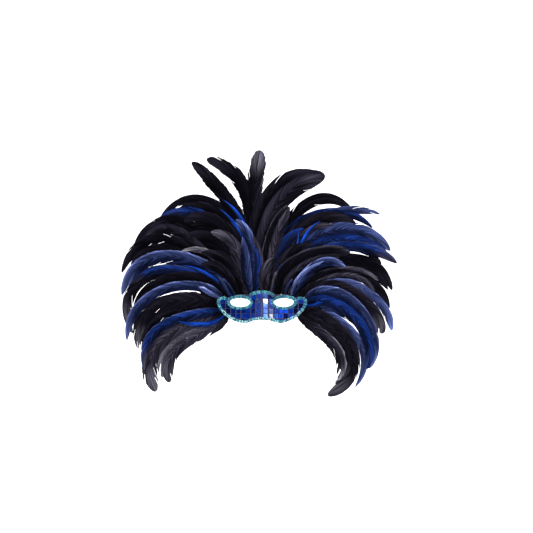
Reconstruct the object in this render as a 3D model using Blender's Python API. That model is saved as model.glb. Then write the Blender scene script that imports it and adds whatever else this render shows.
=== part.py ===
"""A carnival half mask with a mosaic face, a beaded trim and a fan of coque plumes.

Run it with blender --background --python part.py, or from Blender's text editor.
The front looks along -Y, +Z is up, and the origin is inside the nose bridge, level with the eyes.
Sizes and tables are in millimetres, and each mesh is turned to metres when it is finished.
"""
import math
from collections import namedtuple

import bmesh
import bpy
from mathutils import Vector
from mathutils.geometry import delaunay_2d_cdt

MM = 0.001
GAP = 0.3

# The stiff half mask, seen from the front
SHELL_WALL = 1.8
SHELL_ROWS = 3
RIM_STEPS = 6
SHELL_RIM_STEPS = 2
CENTRE_SEGMENTS = 8
EYE_CENTRE = (32.75, 0.5)
EYE_HOLE = (17.3, 8.9)
HALF_OUTLINE = (
    # half width, height
    (0.0, 18.0), (8.0, 17.2), (15.0, 14.8), (20.5, 12.6), (27.0, 12.3), (34.0, 12.6), (41.0, 11.6),
    (47.0, 9.4), (53.0, 7.4), (60.0, 7.7), (66.0, 6.0), (69.3, 1.0), (67.6, -5.5), (62.5, -13.5),
    (55.5, -20.5), (46.5, -26.5), (36.0, -30.6), (26.5, -32.0), (18.0, -30.6), (10.0, -28.2), (0.0, -27.4),
)

# The mask's depth: it bends round the head, with a nose ridge, a brow and cheeks
HEAD_RADIUS = 100.0
TEMPLE_START = 53.0
TEMPLE_END = 70.0
EYE_PLANE = 12.0
BROW_RISE = 6.0
BROW_LEVELS = (2.0, 16.0)
BROW_FADE = 42.0
NOSE_HALF_WIDTH = 16.0
BROW_EXTRA_WIDTH = 5.0
NOSE_LEAN = 0.22
CHEEK_RISE = 2.0
CHEEK_PLACE = (32.0, -24.0)
CHEEK_SIZE = (9.0, 9.0)
SLOPE_STEP = 0.5

# The mosaic of square foil tiles on its backing
TILE_PITCH = 8.0
TILE_ROW_OFFSET = 2.0
TILE_BEVEL = 0.8
TILE_RISE = 0.6
BACKING = 0.5
MOSAIC_GAP = 0.9
SMALLEST_TILE = 9.0
MOSAIC_INSET = 4.2
MOSAIC_RIM_POINTS = 38
MOSAIC_RING_POINTS = 26
GRID_LINES = ((-8, 9), (-5, 4))
GRID_SPAN = ((-80.0, 80.0), (-40.0, 30.0))

# The beaded trim: half its width and half its height
TRIM_HALF_WIDTH = 2.4
TRIM_HALF_HEIGHT = 1.7
TRIM_SIDES = 6
TRIM_INSET = 1.4
EYE_RING = (18.9, 10.2)
RIM_START = 56.4
BROW_END = 17.6
EYE_SEGMENTS = 20
RIM_SEGMENTS = 20
BROW_SEGMENTS = 8

# The plumes: strips behind the rim, and a fan that bends back from them
ROOT_INSET = 1.9
STRIP_HALF_HEIGHT = 1.4
STRIP_HALF_THICKNESS = 0.8
STRIP_GAP = 0.5
STRIP_STEP = STRIP_HALF_THICKNESS * 2 + STRIP_GAP
STRIP_END = 1.6
STRIP_GRID = 4.0
FAN_SETBACK = 20.0
FAN_APEX = 14.0
FAN_SLOPE = 0.36
FAN_SLOPE_LENGTH = 30.0
FAN_BLEND = 60.0
FAN_LEAN_UP = 0.12
FAN_LEAN_DOWN = 0.05
FAN_LEVELS = (-20.0, 20.0)
FAN_SPREAD = 3.8
FAN_SPREAD_LENGTH = 150.0
FAN_OPENING = 14.0
FAN_CORE = (52.0, -6.0, 19.0)
FAN_CORE_BROW = (6.0, 13.0)
NEAR_STATIONS = (0.0, 7.0, 16.0, 32.0)
FAR_STATIONS = (0.27, 0.48, 0.72, 0.92, 1.0)
PLUME_HALF_THICKNESS = 0.3
QUILL_SHARE = 0.15
VANE_OPENS = (0.0, 0.45)
TIP_START = 0.86
TIP_LENGTH = 0.145
STAGGER = 1.2
ROOM_USED = 0.6
CRUMB_FACES = 12
TOUCH = 0.0000002
DRAW_APART = 0.00002

# One plume: where its quill leaves the rim, in mm along the rim from the middle of the brow, then
# three points of its spine as half width and height, and its widest width.
Plume = namedtuple("Plume", "rim low_x low_z high_x high_z tip_x tip_z width")

# One bunch: its name, its place in the stack of strips, its layer in the open fan, and its colour.
Bunch = namedtuple("Bunch", "name strip layer colour plumes")

BLACK = (0.012, 0.012, 0.016)
CHARCOAL = (0.045, 0.043, 0.050)
TAUPE = (0.085, 0.078, 0.080)
ROYAL = (0.035, 0.090, 0.320)
PALE = (0.180, 0.230, 0.480)

BUNCHES = (
    Bunch("plume_blue_pillar", 0, 0, ROYAL, (
        Plume(3.0, 0, 35, 5, 55, 17, 71, 11),
        Plume(-13.5, -8, 36, -7, 62, -14, 90, 12),
        Plume(-18.0, -24, 45, -27, 75, -31, 105, 13),
        Plume(-2.0, -1, 50, -5, 80, -14, 107, 10),
        Plume(-9.0, -13, 55, -19, 95, -42, 132, 17),
    )),
    Bunch("plume_left_front", 0, 0, ROYAL, (
        Plume(-65.5, -74, 10, -87, 17.5, -102, 24, 9),
        Plume(-62.0, -112, 26, -186, 4, -218, -63, 16),
    )),
    Bunch("plume_left_low_front", 0, 0, ROYAL, (
        Plume(-97.0, -82, -34, -108, -36, -136, -31, 7),
        Plume(-92.0, -108, -20, -165, -42, -190, -110, 16),
    )),
    Bunch("plume_right_curl", 0, 0, ROYAL, (
        Plume(48.5, 60, 40, 80, 56, 99, 65, 6),
        Plume(52.0, 62, 34, 94, 62, 134, 56, 16),
    )),
    Bunch("plume_right_low", 0, 0, CHARCOAL, (
        Plume(99.0, 88, -44, 124, -84, 121, -126, 18),
        Plume(95.0, 98, -36, 138, -84, 117, -131, 18),
        Plume(91.0, 108, -32, 146, -82, 105, -150, 21),
    )),
    Bunch("plume_left_inner", 0, 1, TAUPE, (
        Plume(-53.0, -57, 17, -63, 28, -70, 41, 10),
        Plume(-44.5, -48, 19, -54, 28, -63, 38, 9),
        Plume(-38.0, -48, 36, -68, 54, -98, 60, 14),
        Plume(-33.0, -40, 47, -62, 70, -98, 78, 15),
        Plume(-29.0, -31, 40, -38, 62, -52, 87, 11),
        Plume(-25.0, -30, 52, -44, 90, -82, 112, 18),
    )),
    Bunch("plume_right_inner", 0, 1, CHARCOAL, (
        Plume(43.0, 43, 15, 45, 20, 49, 27, 6),
        Plume(38.0, 39, 19, 43, 28, 49, 37, 6),
        Plume(14.5, 16.5, 25, 18.5, 37, 22, 49, 8),
        Plume(18.5, 21, 32, 26, 48, 33, 62, 8),
        Plume(27.0, 36, 49, 86, 77, 142, 79, 21),
        Plume(33.0, 50, 44, 86, 68, 128, 75, 16),
        Plume(22.5, 27, 55, 50, 82, 83, 93, 13),
    )),
    Bunch("plume_right_wing", 0, 1, ROYAL, (
        Plume(78.0, 76, -6, 86, -4, 98, -1, 7),
        Plume(74.0, 108, 0, 160, -40, 169, -109, 17),
        Plume(70.0, 112, 16, 172, -36, 172, -108, 18),
    )),
    Bunch("plume_left_wing", 0, 1, CHARCOAL, (
        Plume(-75.0, -80, -3, -95, -5, -112, -5, 7),
        Plume(-71.0, -112, 1, -176, -15, -200, -78, 26),
        Plume(-79.0, -112, -9, -168, -27, -192, -80, 18),
    )),
    Bunch("plume_left_low_back", 1, 1, TAUPE, (
        Plume(-103.0, -100, -52, -142, -82, -149, -130, 20),
        Plume(-99.0, -108, -46, -152, -78, -160, -122, 22),
        Plume(-95.0, -116, -34, -172, -75, -171, -145, 26),
    )),
    Bunch("plume_crown_inner", 1, 2, TAUPE, (
        Plume(4.0, 4, 62, 17, 115, 41, 155, 13),
        Plume(8.0, 15, 62, 26, 110, 44, 153, 17),
        Plume(16.5, 42, 60, 56, 90, 58, 114, 4),
        Plume(12.0, 24, 70, 42, 100, 67, 118, 15),
    )),
    Bunch("plume_left_mid", 1, 2, ROYAL, (
        Plume(-48.0, -72, 34, -98, 50, -128, 59, 4),
        Plume(-39.0, -62, 58, -88, 79, -131, 81, 10),
        Plume(-44.0, -98, 60, -178, 69, -227, 10, 21),
        Plume(-52.0, -105, 38, -172, 27, -206, -27, 18),
    )),
    Bunch("plume_right_mid", 1, 2, BLACK, (
        Plume(60.0, 98, 27, 158, 8, 194, -52, 17),
        Plume(64.0, 88, 21, 122, 19, 153, 3, 8),
    )),
    Bunch("plume_right_wing_back", 1, 2, PALE, (
        Plume(76.0, 76, -9, 86, -11, 97, -13, 9),
        Plume(80.0, 106, -10, 156, -36, 170, -100, 13),
        Plume(84.0, 120, -27, 160, -71, 150, -138, 13),
    )),
    Bunch("plume_crown_front", 2, 3, CHARCOAL, (
        Plume(2.0, 4, 112, 38, 172, 102, 203, 31),
        Plume(-6.0, -14, 110, 18, 182, 92, 208, 20),
    )),
    Bunch("plume_left_upper", 2, 3, BLACK, (
        Plume(-33.0, -54, 74, -84, 102, -118, 110, 20),
        Plume(-25.0, -44, 90, -80, 126, -126, 130, 32),
        Plume(-42.0, -98, 62, -165, 86, -213, 60, 16),
        Plume(-38.0, -98, 75, -168, 101, -228, 46, 20),
        Plume(-49.0, -100, 42, -165, 52, -218, 26, 14),
    )),
    Bunch("plume_right_upper", 2, 3, ROYAL, (
        Plume(33.0, 56, 66, 70, 106, 94, 130, 7),
        Plume(37.0, 80, 76, 145, 90, 219, 62, 17),
        Plume(29.0, 78, 90, 140, 101, 203, 78, 18),
        Plume(24.0, 72, 98, 140, 117, 208, 82, 22),
        Plume(18.0, 48, 90, 84, 120, 118, 121, 12),
        Plume(12.0, 40, 98, 88, 132, 152, 126, 20),
    )),
    Bunch("plume_right_back", 2, 3, BLACK, (
        Plume(58.0, 104, 33, 168, 18, 210, -47, 13),
        Plume(54.0, 100, 36, 150, 41, 184, 8, 10),
        Plume(50.0, 102, 42, 163, 38, 206, -12, 16),
    )),
    Bunch("plume_crown_back", 3, 4, BLACK, (
        Plume(-13.0, -24, 75, -45, 126, -70, 150, 8),
        Plume(-10.0, -19, 96, -32, 131, -65, 165, 8),
        Plume(1.0, -12, 95, -12, 178, -3, 244, 25),
        Plume(-7.0, -24, 108, -62, 172, -114, 226, 22),
        Plume(-3.0, -14, 110, -33, 190, -90, 230, 23),
    )),
    Bunch("plume_left_outer", 3, 4, BLACK, (
        Plume(-47.0, -108, 52, -200, 30, -210, -52, 18),
        Plume(-38.5, -90, 78, -150, 119, -204, 75, 20),
        Plume(-31.5, -78, 88, -132, 131, -190, 118, 16),
        Plume(-34.5, -92, 92, -155, 127, -208, 91, 16),
    )),
    Bunch("plume_right_outer", 3, 4, BLACK, (
        Plume(48.0, 95, 45, 148, 52, 189, 34, 10),
        Plume(45.0, 92, 48, 155, 56, 204, 19, 14),
        Plume(41.5, 90, 56, 160, 67, 211, 18, 18),
        Plume(38.0, 95, 76, 152, 86, 194, 61, 12),
    )),
    Bunch("plume_left_top", 3, 5, BLACK, (
        Plume(-26.0, -42, 88, -92, 137, -168, 134, 17),
        Plume(-22.5, -37, 110, -86, 150, -136, 149, 20),
        Plume(-19.5, -32, 116, -98, 165, -166, 135, 16),
    )),
    Bunch("plume_right_top", 3, 5, BLACK, (
        Plume(16.0, 56, 126, 112, 145, 180, 119, 14),
        Plume(20.0, 62, 118, 125, 146, 192, 142, 14),
        Plume(12.0, 40, 118, 92, 161, 151, 143, 10),
        Plume(8.0, 35, 122, 90, 169, 146, 150, 12),
    )),
)


def smoothstep(value, low, high):
    """Rises smoothly from 0 at low to 1 at high."""
    t = min(max((value - low) / (high - low), 0.0), 1.0)
    return t * t * (3 - 2 * t)


def side_depth(x):
    """How far the mask and the fan have bent back at x: an arc, a flat temple, then a slackening slope."""
    half = min(abs(x), TEMPLE_START)
    depth = HEAD_RADIUS - math.sqrt(HEAD_RADIUS ** 2 - half ** 2)
    temple_slope = TEMPLE_START / math.sqrt(HEAD_RADIUS ** 2 - TEMPLE_START ** 2)
    depth += temple_slope * (min(abs(x), TEMPLE_END) - half)
    beyond = max(abs(x) - TEMPLE_END, 0.0)
    slackening = (temple_slope - FAN_SLOPE) * FAN_SLOPE_LENGTH * (1 - math.exp(-beyond / FAN_SLOPE_LENGTH))
    return depth + FAN_SLOPE * beyond + slackening


def inner_depth(x, z):
    """Depth of the mask's inner face."""
    brow = smoothstep(z, *BROW_LEVELS) * (1 - smoothstep(abs(x), BROW_FADE, TEMPLE_START))
    ridge_width = NOSE_HALF_WIDTH + BROW_EXTRA_WIDTH * brow
    ridge = math.exp(-(x / ridge_width) ** 2)
    cheek_x = (abs(x) - CHEEK_PLACE[0]) / CHEEK_SIZE[0]
    cheek_z = (z - CHEEK_PLACE[1]) / CHEEK_SIZE[1]
    cheek = math.exp(-cheek_x ** 2 - cheek_z ** 2)
    plane = EYE_PLANE - BROW_RISE * brow + side_depth(x)
    return NOSE_LEAN * min(z, 0.0) * ridge + plane * (1 - ridge) - CHEEK_RISE * cheek * (1 - ridge)


def face_point(x, z, height):
    """The point at a height in front of the mask's inner face, square to it."""
    slope_x = (inner_depth(x + SLOPE_STEP, z) - inner_depth(x - SLOPE_STEP, z)) / (2 * SLOPE_STEP)
    slope_z = (inner_depth(x, z + SLOPE_STEP) - inner_depth(x, z - SLOPE_STEP)) / (2 * SLOPE_STEP)
    normal = Vector((slope_x, -1.0, slope_z)).normalized()
    return (Vector((x, inner_depth(x, z), z)) + normal * height) * MM


def wrap_on_face(bm):
    """Bends a flat mesh, with its height held in y, onto the face."""
    for vert in bm.verts:
        vert.co = face_point(vert.co.x, vert.co.z, vert.co.y)


def spline(points, steps):
    """Points on a smooth curve through the half outline, square to the middle plane at both ends."""
    first = (-points[1][0], points[1][1])
    last = (-points[-2][0], points[-2][1])
    chain = (first, *points, last)
    curve = []
    for a, b, c, d in zip(chain, chain[1:], chain[2:], chain[3:]):
        for step in range(steps):
            t = step / steps
            curve.append(tuple(
                b[k] + 0.5 * t * (c[k] - a[k] + t * (2 * a[k] - 5 * b[k] + 4 * c[k] - d[k]
                                                     + t * (3 * (b[k] - c[k]) + d[k] - a[k])))
                for k in (0, 1)))
    curve.append(points[-1])
    return curve


RIM = spline(HALF_OUTLINE, RIM_STEPS)
RIM_LENGTHS = [0.0]
for start, end in zip(RIM, RIM[1:]):
    RIM_LENGTHS.append(RIM_LENGTHS[-1] + math.dist(start, end))


def rim_point(along, inset):
    """The point at a length along the rim from the middle of the brow, moved in from the edge."""
    length = min(abs(along), RIM_LENGTHS[-1])
    index = 1
    while RIM_LENGTHS[index] < length and index < len(RIM) - 1:
        index += 1
    (x0, z0), (x1, z1) = RIM[index - 1], RIM[index]
    span = RIM_LENGTHS[index] - RIM_LENGTHS[index - 1]
    t = (length - RIM_LENGTHS[index - 1]) / span
    x = x0 + (x1 - x0) * t + (z1 - z0) / span * inset
    z = z0 + (z1 - z0) * t - (x1 - x0) / span * inset
    return math.copysign(x, along), z


def ellipse(centre, radii, count):
    """Points round an upright ellipse, counter-clockwise."""
    turns = (2 * math.pi * k / count for k in range(count))
    return [(centre[0] + radii[0] * math.cos(turn), centre[1] + radii[1] * math.sin(turn)) for turn in turns]


def loft(bm, rings, closed=False):
    """Joins rings of points into one closed body, end to end or with both ends capped."""
    loops = [[bm.verts.new(point) for point in ring] for ring in rings]
    pairs = list(zip(loops, loops[1:]))
    if closed:
        pairs.append((loops[-1], loops[0]))
    else:
        bm.faces.new(loops[0])
        bm.faces.new(loops[-1])
    for near, far in pairs:
        for k in range(len(near)):
            n = (k + 1) % len(near)
            bm.faces.new((near[k], near[n], far[n], far[k]))


def finish(name, bm, material, smooth=True):
    """Turns a mesh into a named object with its material."""
    bmesh.ops.recalc_face_normals(bm, faces=bm.faces)
    if bm.calc_volume(signed=True) < 0:
        bmesh.ops.reverse_faces(bm, faces=bm.faces)
    mesh = bpy.data.meshes.new(name)
    bm.to_mesh(mesh)
    bm.free()
    if smooth:
        mesh.shade_smooth()
        mesh.set_sharp_from_angle(angle=math.radians(40))
    mesh.materials.append(material)
    piece = bpy.data.objects.new(name, mesh)
    bpy.context.scene.collection.objects.link(piece)
    return piece


def make_material(name, colour, roughness, metallic=0.0):
    material = bpy.data.materials.new(name)
    material.use_nodes = True
    shader = material.node_tree.nodes["Principled BSDF"]
    shader.inputs["Base Color"].default_value = (*colour, 1.0)
    shader.inputs["Roughness"].default_value = roughness
    shader.inputs["Metallic"].default_value = metallic
    return material


def make_shell(material):
    """The half mask: rows of faces from each eye hole out to the rim, mirrored and given its wall."""
    bm = bmesh.new()
    rim = spline(HALF_OUTLINE, SHELL_RIM_STEPS)
    top, bottom = rim[0][1], rim[-1][1]
    rim += [(0.0, bottom + (top - bottom) * k / CENTRE_SEGMENTS) for k in range(1, CENTRE_SEGMENTS)]
    rows = []
    for x, z in rim:
        turn = math.atan2((z - EYE_CENTRE[1]) / EYE_HOLE[1], (x - EYE_CENTRE[0]) / EYE_HOLE[0])
        eye_x = EYE_CENTRE[0] + EYE_HOLE[0] * math.cos(turn)
        eye_z = EYE_CENTRE[1] + EYE_HOLE[1] * math.sin(turn)
        shares = [k / SHELL_ROWS for k in range(SHELL_ROWS + 1)]
        rows.append([bm.verts.new((eye_x + (x - eye_x) * t, 0.0, eye_z + (z - eye_z) * t)) for t in shares])
    for near, far in zip(rows, rows[1:] + rows[:1]):
        for k in range(SHELL_ROWS):
            bm.faces.new((near[k], near[k + 1], far[k + 1], far[k]))
    bmesh.ops.mirror(bm, geom=bm.verts[:] + bm.edges[:] + bm.faces[:], axis="X", merge_dist=0.01)
    bmesh.ops.recalc_face_normals(bm, faces=bm.faces)
    grown = bmesh.ops.extrude_face_region(bm, geom=bm.faces[:], use_keep_orig=True)
    for vert in (item for item in grown["geom"] if isinstance(item, bmesh.types.BMVert)):
        vert.co.y = SHELL_WALL
    wrap_on_face(bm)
    return finish("mask_shell", bm, material)


def make_mosaic(material):
    """The tiles: cells of a square grid cut by the trims' edges, raised from one thin backing."""
    step = RIM_LENGTHS[-1] / MOSAIC_RIM_POINTS
    right = [rim_point(step * (k + 0.5), MOSAIC_INSET) for k in range(MOSAIC_RIM_POINTS)]
    outline = right + [(-x, z) for x, z in reversed(right)]
    ring = (EYE_RING[0] + TRIM_HALF_WIDTH + GAP, EYE_RING[1] + TRIM_HALF_WIDTH + GAP)
    right_ring = ellipse(EYE_CENTRE, ring, MOSAIC_RING_POINTS)
    left_ring = [(-x, z) for x, z in reversed(right_ring)]
    points = outline + right_ring + left_ring
    ends = (len(outline), len(outline) + len(right_ring), len(points))
    faces = [list(range(ends[0]))[::-1], list(range(ends[0], ends[1])), list(range(ends[1], ends[2]))]
    edges = []
    for k in range(*GRID_LINES[0]):
        edges.append((len(points), len(points) + 1))
        points += [(TILE_PITCH * k, z) for z in GRID_SPAN[1]]
    for k in range(*GRID_LINES[1]):
        edges.append((len(points), len(points) + 1))
        points += [(x, TILE_PITCH * k - TILE_ROW_OFFSET) for x in GRID_SPAN[0]]
    cells = delaunay_2d_cdt([Vector(p) for p in points], edges, faces, 3, 0.001)
    cell_verts, cell_faces, origins = cells[0], cells[2], cells[5]
    bm = bmesh.new()
    verts = [bm.verts.new((v.x, SHELL_WALL + MOSAIC_GAP, v.y)) for v in cell_verts]
    for face, origin in zip(cell_faces, origins):
        if list(origin) == [0]:
            bm.faces.new([verts[k] for k in face])
    bmesh.ops.delete(bm, geom=[v for v in bm.verts if not v.link_faces], context="VERTS")
    bmesh.ops.recalc_face_normals(bm, faces=bm.faces)
    grown = bmesh.ops.extrude_face_region(bm, geom=bm.faces[:], use_keep_orig=True)
    tops = [item for item in grown["geom"] if isinstance(item, bmesh.types.BMFace)]
    for vert in (item for item in grown["geom"] if isinstance(item, bmesh.types.BMVert)):
        vert.co.y += BACKING
    tiles = [face for face in tops if face.calc_area() > SMALLEST_TILE]
    bmesh.ops.inset_individual(bm, faces=tiles, thickness=TILE_BEVEL, use_even_offset=True)
    for vert in {vert for face in tiles for vert in face.verts}:
        vert.co.y += TILE_RISE
    wrap_on_face(bm)
    return finish("mosaic", bm, material, smooth=False)


def make_trim(name, path, closed, material):
    """One run of trim: an oval section swept along a path on the face."""
    bm = bmesh.new()
    rings = []
    middle = SHELL_WALL + GAP + TRIM_HALF_HEIGHT
    for k, (x, z) in enumerate(path):
        before = path[k - 1] if closed or k else path[k]
        after = path[(k + 1) % len(path)] if closed or k < len(path) - 1 else path[k]
        along = Vector((after[0] - before[0], after[1] - before[1])).normalized()
        ring = []
        for side in range(TRIM_SIDES):
            turn = 2 * math.pi * side / TRIM_SIDES
            across = TRIM_HALF_WIDTH * math.cos(turn)
            height = middle + TRIM_HALF_HEIGHT * math.sin(turn)
            ring.append((x - along.y * across, height, z + along.x * across))
        rings.append(ring)
    loft(bm, rings, closed)
    wrap_on_face(bm)
    return finish(name, bm, material)


def make_trims(material):
    ring = ellipse(EYE_CENTRE, EYE_RING, EYE_SEGMENTS)
    make_trim("eye_trim_right", ring, True, material)
    make_trim("eye_trim_left", [(-x, z) for x, z in ring], True, material)
    step = (RIM_LENGTHS[-1] - RIM_START) / RIM_SEGMENTS
    lower = [rim_point(RIM_START + step * k, TRIM_INSET) for k in range(RIM_SEGMENTS + 1)]
    make_trim("rim_trim", lower + [(-x, z) for x, z in reversed(lower[:-1])], False, material)
    brow = [rim_point(BROW_END * (k / BROW_SEGMENTS * 2 - 1), TRIM_INSET) for k in range(BROW_SEGMENTS + 1)]
    make_trim("brow_trim", brow, False, material)


def fan_distance(x, z):
    """How far a point lies outside the middle of the mask."""
    core = FAN_CORE[2] + FAN_CORE_BROW[0] * math.exp(-(x / FAN_CORE_BROW[1]) ** 2)
    return max(math.hypot(max(abs(x) - FAN_CORE[0], 0.0), z - FAN_CORE[1]) - core, 0.0)


def fan_depth(x, z, bunch, place):
    """Depth of one plume's sheet: behind the rim it starts from its bunch's strip, and further out it
    opens into its layer of the fan."""
    distance = fan_distance(x, z)
    own = inner_depth(x, z)
    broad = FAN_SETBACK + math.hypot(FAN_APEX, FAN_SLOPE * x) - FAN_APEX
    base = own + (broad - own) * smoothstep(distance, 0.0, FAN_BLEND) + GAP + STRIP_HALF_THICKNESS
    base += FAN_LEAN_UP * max(z - FAN_LEVELS[1], 0.0) + FAN_LEAN_DOWN * max(FAN_LEVELS[0] - z, 0.0)
    spread = STRIP_STEP + FAN_SPREAD * min(distance / FAN_SPREAD_LENGTH, 1.0)
    opened = smoothstep(distance, 0.0, FAN_OPENING)
    room = spread - 2 * PLUME_HALF_THICKNESS - STRIP_GAP
    count = len(bunch.plumes)
    step = min(room / (count - 1) * ROOM_USED, STAGGER)
    base += (place - (count - 1) / 2) * step
    return base + bunch.strip * STRIP_STEP * (1 - opened) + bunch.layer * spread * opened


def plume_spine(plume):
    """A function that gives the spine's point at a share of its length, and that length."""
    points = [Vector(rim_point(plume.rim, ROOT_INSET)), Vector((plume.low_x, plume.low_z)),
              Vector((plume.high_x, plume.high_z)), Vector((plume.tip_x, plume.tip_z))]
    knots = [0.0]
    for near, far in zip(points, points[1:]):
        knots.append(knots[-1] + (far - near).length)
    length = knots[-1]
    knots = [knot / length for knot in knots]

    def at(share):
        total = Vector((0.0, 0.0))
        for i, point in enumerate(points):
            weight = math.prod((share - knots[j]) / (knots[i] - knots[j]) for j in range(4) if j != i)
            total += point * weight
        return total
    return at, length


def plume_stations(length):
    """Where a blade's sections stand: at set distances from the rim, then at set shares of its length."""
    near = [distance / length for distance in NEAR_STATIONS if distance < length / 2]
    return near + [share for share in FAR_STATIONS if share > near[-1] * 1.2]


def plume_width(share):
    """The vane's width along the plume: a bare quill, a widening vane and a round tip."""
    opening = smoothstep(share, *VANE_OPENS)
    tip = math.sqrt(1 - (max(share - TIP_START, 0.0) / TIP_LENGTH) ** 2)
    return (QUILL_SHARE + (1 - QUILL_SHARE) * opening) * tip


def fill(bm, corners, back):
    """Fills four corners with two triangles that bulge outwards: to the back, or else to the front."""
    a, b, c, d = corners
    normal = (b.co - a.co).cross(c.co - a.co)
    further_back = normal.dot(d.co - a.co) * normal.y > 0
    if further_back == back:
        a, b, c, d = b, c, d, a
    bm.faces.new((a, b, c))
    bm.faces.new((c, d, a))


def make_blade(bm, bunch, place):
    """One plume as a closed blade with a ridge along its front, bent into its own sheet of the fan."""
    plume = bunch.plumes[place]
    at, length = plume_spine(plume)
    rings = []
    for share in plume_stations(length):
        middle = at(share)
        along = (at(min(share + 0.01, 1.0)) - at(max(share - 0.01, 0.0))).normalized()
        across = Vector((along.y, -along.x)) * plume.width * plume_width(share) / 2
        left, right = middle - across, middle + across
        left_depth = fan_depth(left.x, left.y, bunch, place) + PLUME_HALF_THICKNESS
        right_depth = fan_depth(right.x, right.y, bunch, place) + PLUME_HALF_THICKNESS
        ridge_depth = (left_depth + right_depth) / 2 - 2 * PLUME_HALF_THICKNESS
        section = ((left, left_depth), (middle, ridge_depth), (right, right_depth))
        rings.append([Vector((point.x, depth, point.y)) * MM for point, depth in section])
    loops = [[bm.verts.new(point) for point in ring] for ring in rings]
    bm.faces.new(loops[0])
    bm.faces.new(loops[-1])
    for (left, ridge, right), (next_left, next_ridge, next_right) in zip(loops, loops[1:]):
        fill(bm, (left, ridge, next_ridge, next_left), back=False)
        fill(bm, (ridge, right, next_right, next_ridge), back=False)
        fill(bm, (right, left, next_left, next_right), back=True)


def make_strip(bm, bunch):
    """The strip that binds a bunch's quills, along the rim behind the mask."""
    spots = sorted(plume.rim for plume in bunch.plumes)
    first, last = spots[0] - STRIP_END, spots[-1] + STRIP_END
    grid_start = math.ceil((first + 1) / STRIP_GRID)
    grid_end = math.ceil((last - 1) / STRIP_GRID)
    grid = (STRIP_GRID * k for k in range(grid_start, grid_end))
    rings = []
    for along in (first, *grid, last):
        ring = []
        for inset, side in ((-1, -1), (-1, 1), (1, 1), (1, -1)):
            x, z = rim_point(along, ROOT_INSET + inset * STRIP_HALF_HEIGHT)
            depth = inner_depth(x, z) + GAP + STRIP_HALF_THICKNESS + bunch.strip * STRIP_STEP
            ring.append(Vector((x, depth + side * STRIP_HALF_THICKNESS, z)) * MM)
        rings.append(ring)
    loft(bm, rings)


def connected(face):
    """All the faces that can be reached from one face over shared edges."""
    found = {face}
    waiting = [face]
    while waiting:
        for edge in waiting.pop().edges:
            for neighbour in edge.link_faces:
                if neighbour not in found:
                    found.add(neighbour)
                    waiting.append(neighbour)
    return found


def clean_union(mesh):
    """Drops the crumbs of a union, and draws corners that only just touch apart."""
    bm = bmesh.new()
    bm.from_mesh(mesh)
    left = set(bm.faces)
    while left:
        island = connected(next(iter(left)))
        left -= island
        if len(island) < CRUMB_FACES:
            bmesh.ops.delete(bm, geom=list(island), context="FACES")
    bm.normal_update()
    places = {}
    for vert in bm.verts:
        places.setdefault(tuple(round(value / TOUCH) for value in vert.co), []).append(vert)
    for verts in places.values():
        if len(verts) > 1:
            for vert in verts:
                vert.co -= vert.normal * DRAW_APART
    bm.to_mesh(mesh)
    bm.free()


def make_bunch(bunch, material):
    """One bunch of plumes, fused to its strip by a Boolean union."""
    bm = bmesh.new()
    make_strip(bm, bunch)
    piece = finish(bunch.name, bm, material)
    blades = []
    for place in range(len(bunch.plumes)):
        bm = bmesh.new()
        make_blade(bm, bunch, place)
        blades.append(finish(f"{bunch.name}_blade_{place}", bm, material))
        union = piece.modifiers.new(f"fuse_{place}", "BOOLEAN")
        union.operation = "UNION"
        union.solver = "MANIFOLD"
        union.object = blades[-1]
    bpy.context.view_layer.update()
    fused = bpy.data.meshes.new_from_object(piece.evaluated_get(bpy.context.evaluated_depsgraph_get()))
    piece.modifiers.clear()
    clean_union(fused)
    piece.data = fused
    for blade in blades:
        bpy.data.objects.remove(blade)
    return piece


def main():
    for old in list(bpy.data.objects):
        bpy.data.objects.remove(old)
    make_shell(make_material("shell_felt", (0.02, 0.04, 0.12), 0.8))
    make_mosaic(make_material("mosaic_foil", (0.02, 0.08, 0.45), 0.15, 0.9))
    make_trims(make_material("trim_beads", (0.20, 0.72, 0.78), 0.25))
    for bunch in BUNCHES:
        make_bunch(bunch, make_material(bunch.name, bunch.colour, 0.45))


main()
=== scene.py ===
"""Dresses the carnival half mask: its shell, mosaic, beaded trims and coque plumes, and a plain studio.

Tables and sizes are in millimetres unless a name says otherwise, and meshes are in metres.
"""

import math
import random
from collections import namedtuple

import bmesh
import bpy
from mathutils import Matrix, Vector


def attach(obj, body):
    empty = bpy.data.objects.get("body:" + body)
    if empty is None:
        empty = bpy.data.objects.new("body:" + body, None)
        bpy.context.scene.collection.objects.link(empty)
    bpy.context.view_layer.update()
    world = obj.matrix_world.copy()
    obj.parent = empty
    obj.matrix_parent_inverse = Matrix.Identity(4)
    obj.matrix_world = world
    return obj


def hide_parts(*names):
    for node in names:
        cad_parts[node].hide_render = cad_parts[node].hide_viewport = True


bl_info = {
    "name": "Carnival mask",
    "version": (1, 0, 0),
    "blender": (4, 5, 0),
    "location": "3D View > Sidebar > Carnival mask",
    "description": "Builds a mosaic half mask with a beaded trim and a fan of coque plumes",
    "category": "Add Mesh",
}

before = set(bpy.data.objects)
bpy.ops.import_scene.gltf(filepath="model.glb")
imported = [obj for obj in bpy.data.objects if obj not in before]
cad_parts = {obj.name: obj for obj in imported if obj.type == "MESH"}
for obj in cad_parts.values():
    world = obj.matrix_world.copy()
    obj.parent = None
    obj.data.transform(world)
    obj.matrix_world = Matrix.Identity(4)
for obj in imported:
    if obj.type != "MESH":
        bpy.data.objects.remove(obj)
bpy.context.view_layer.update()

MM = 0.001
GAP = 0.3

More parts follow.
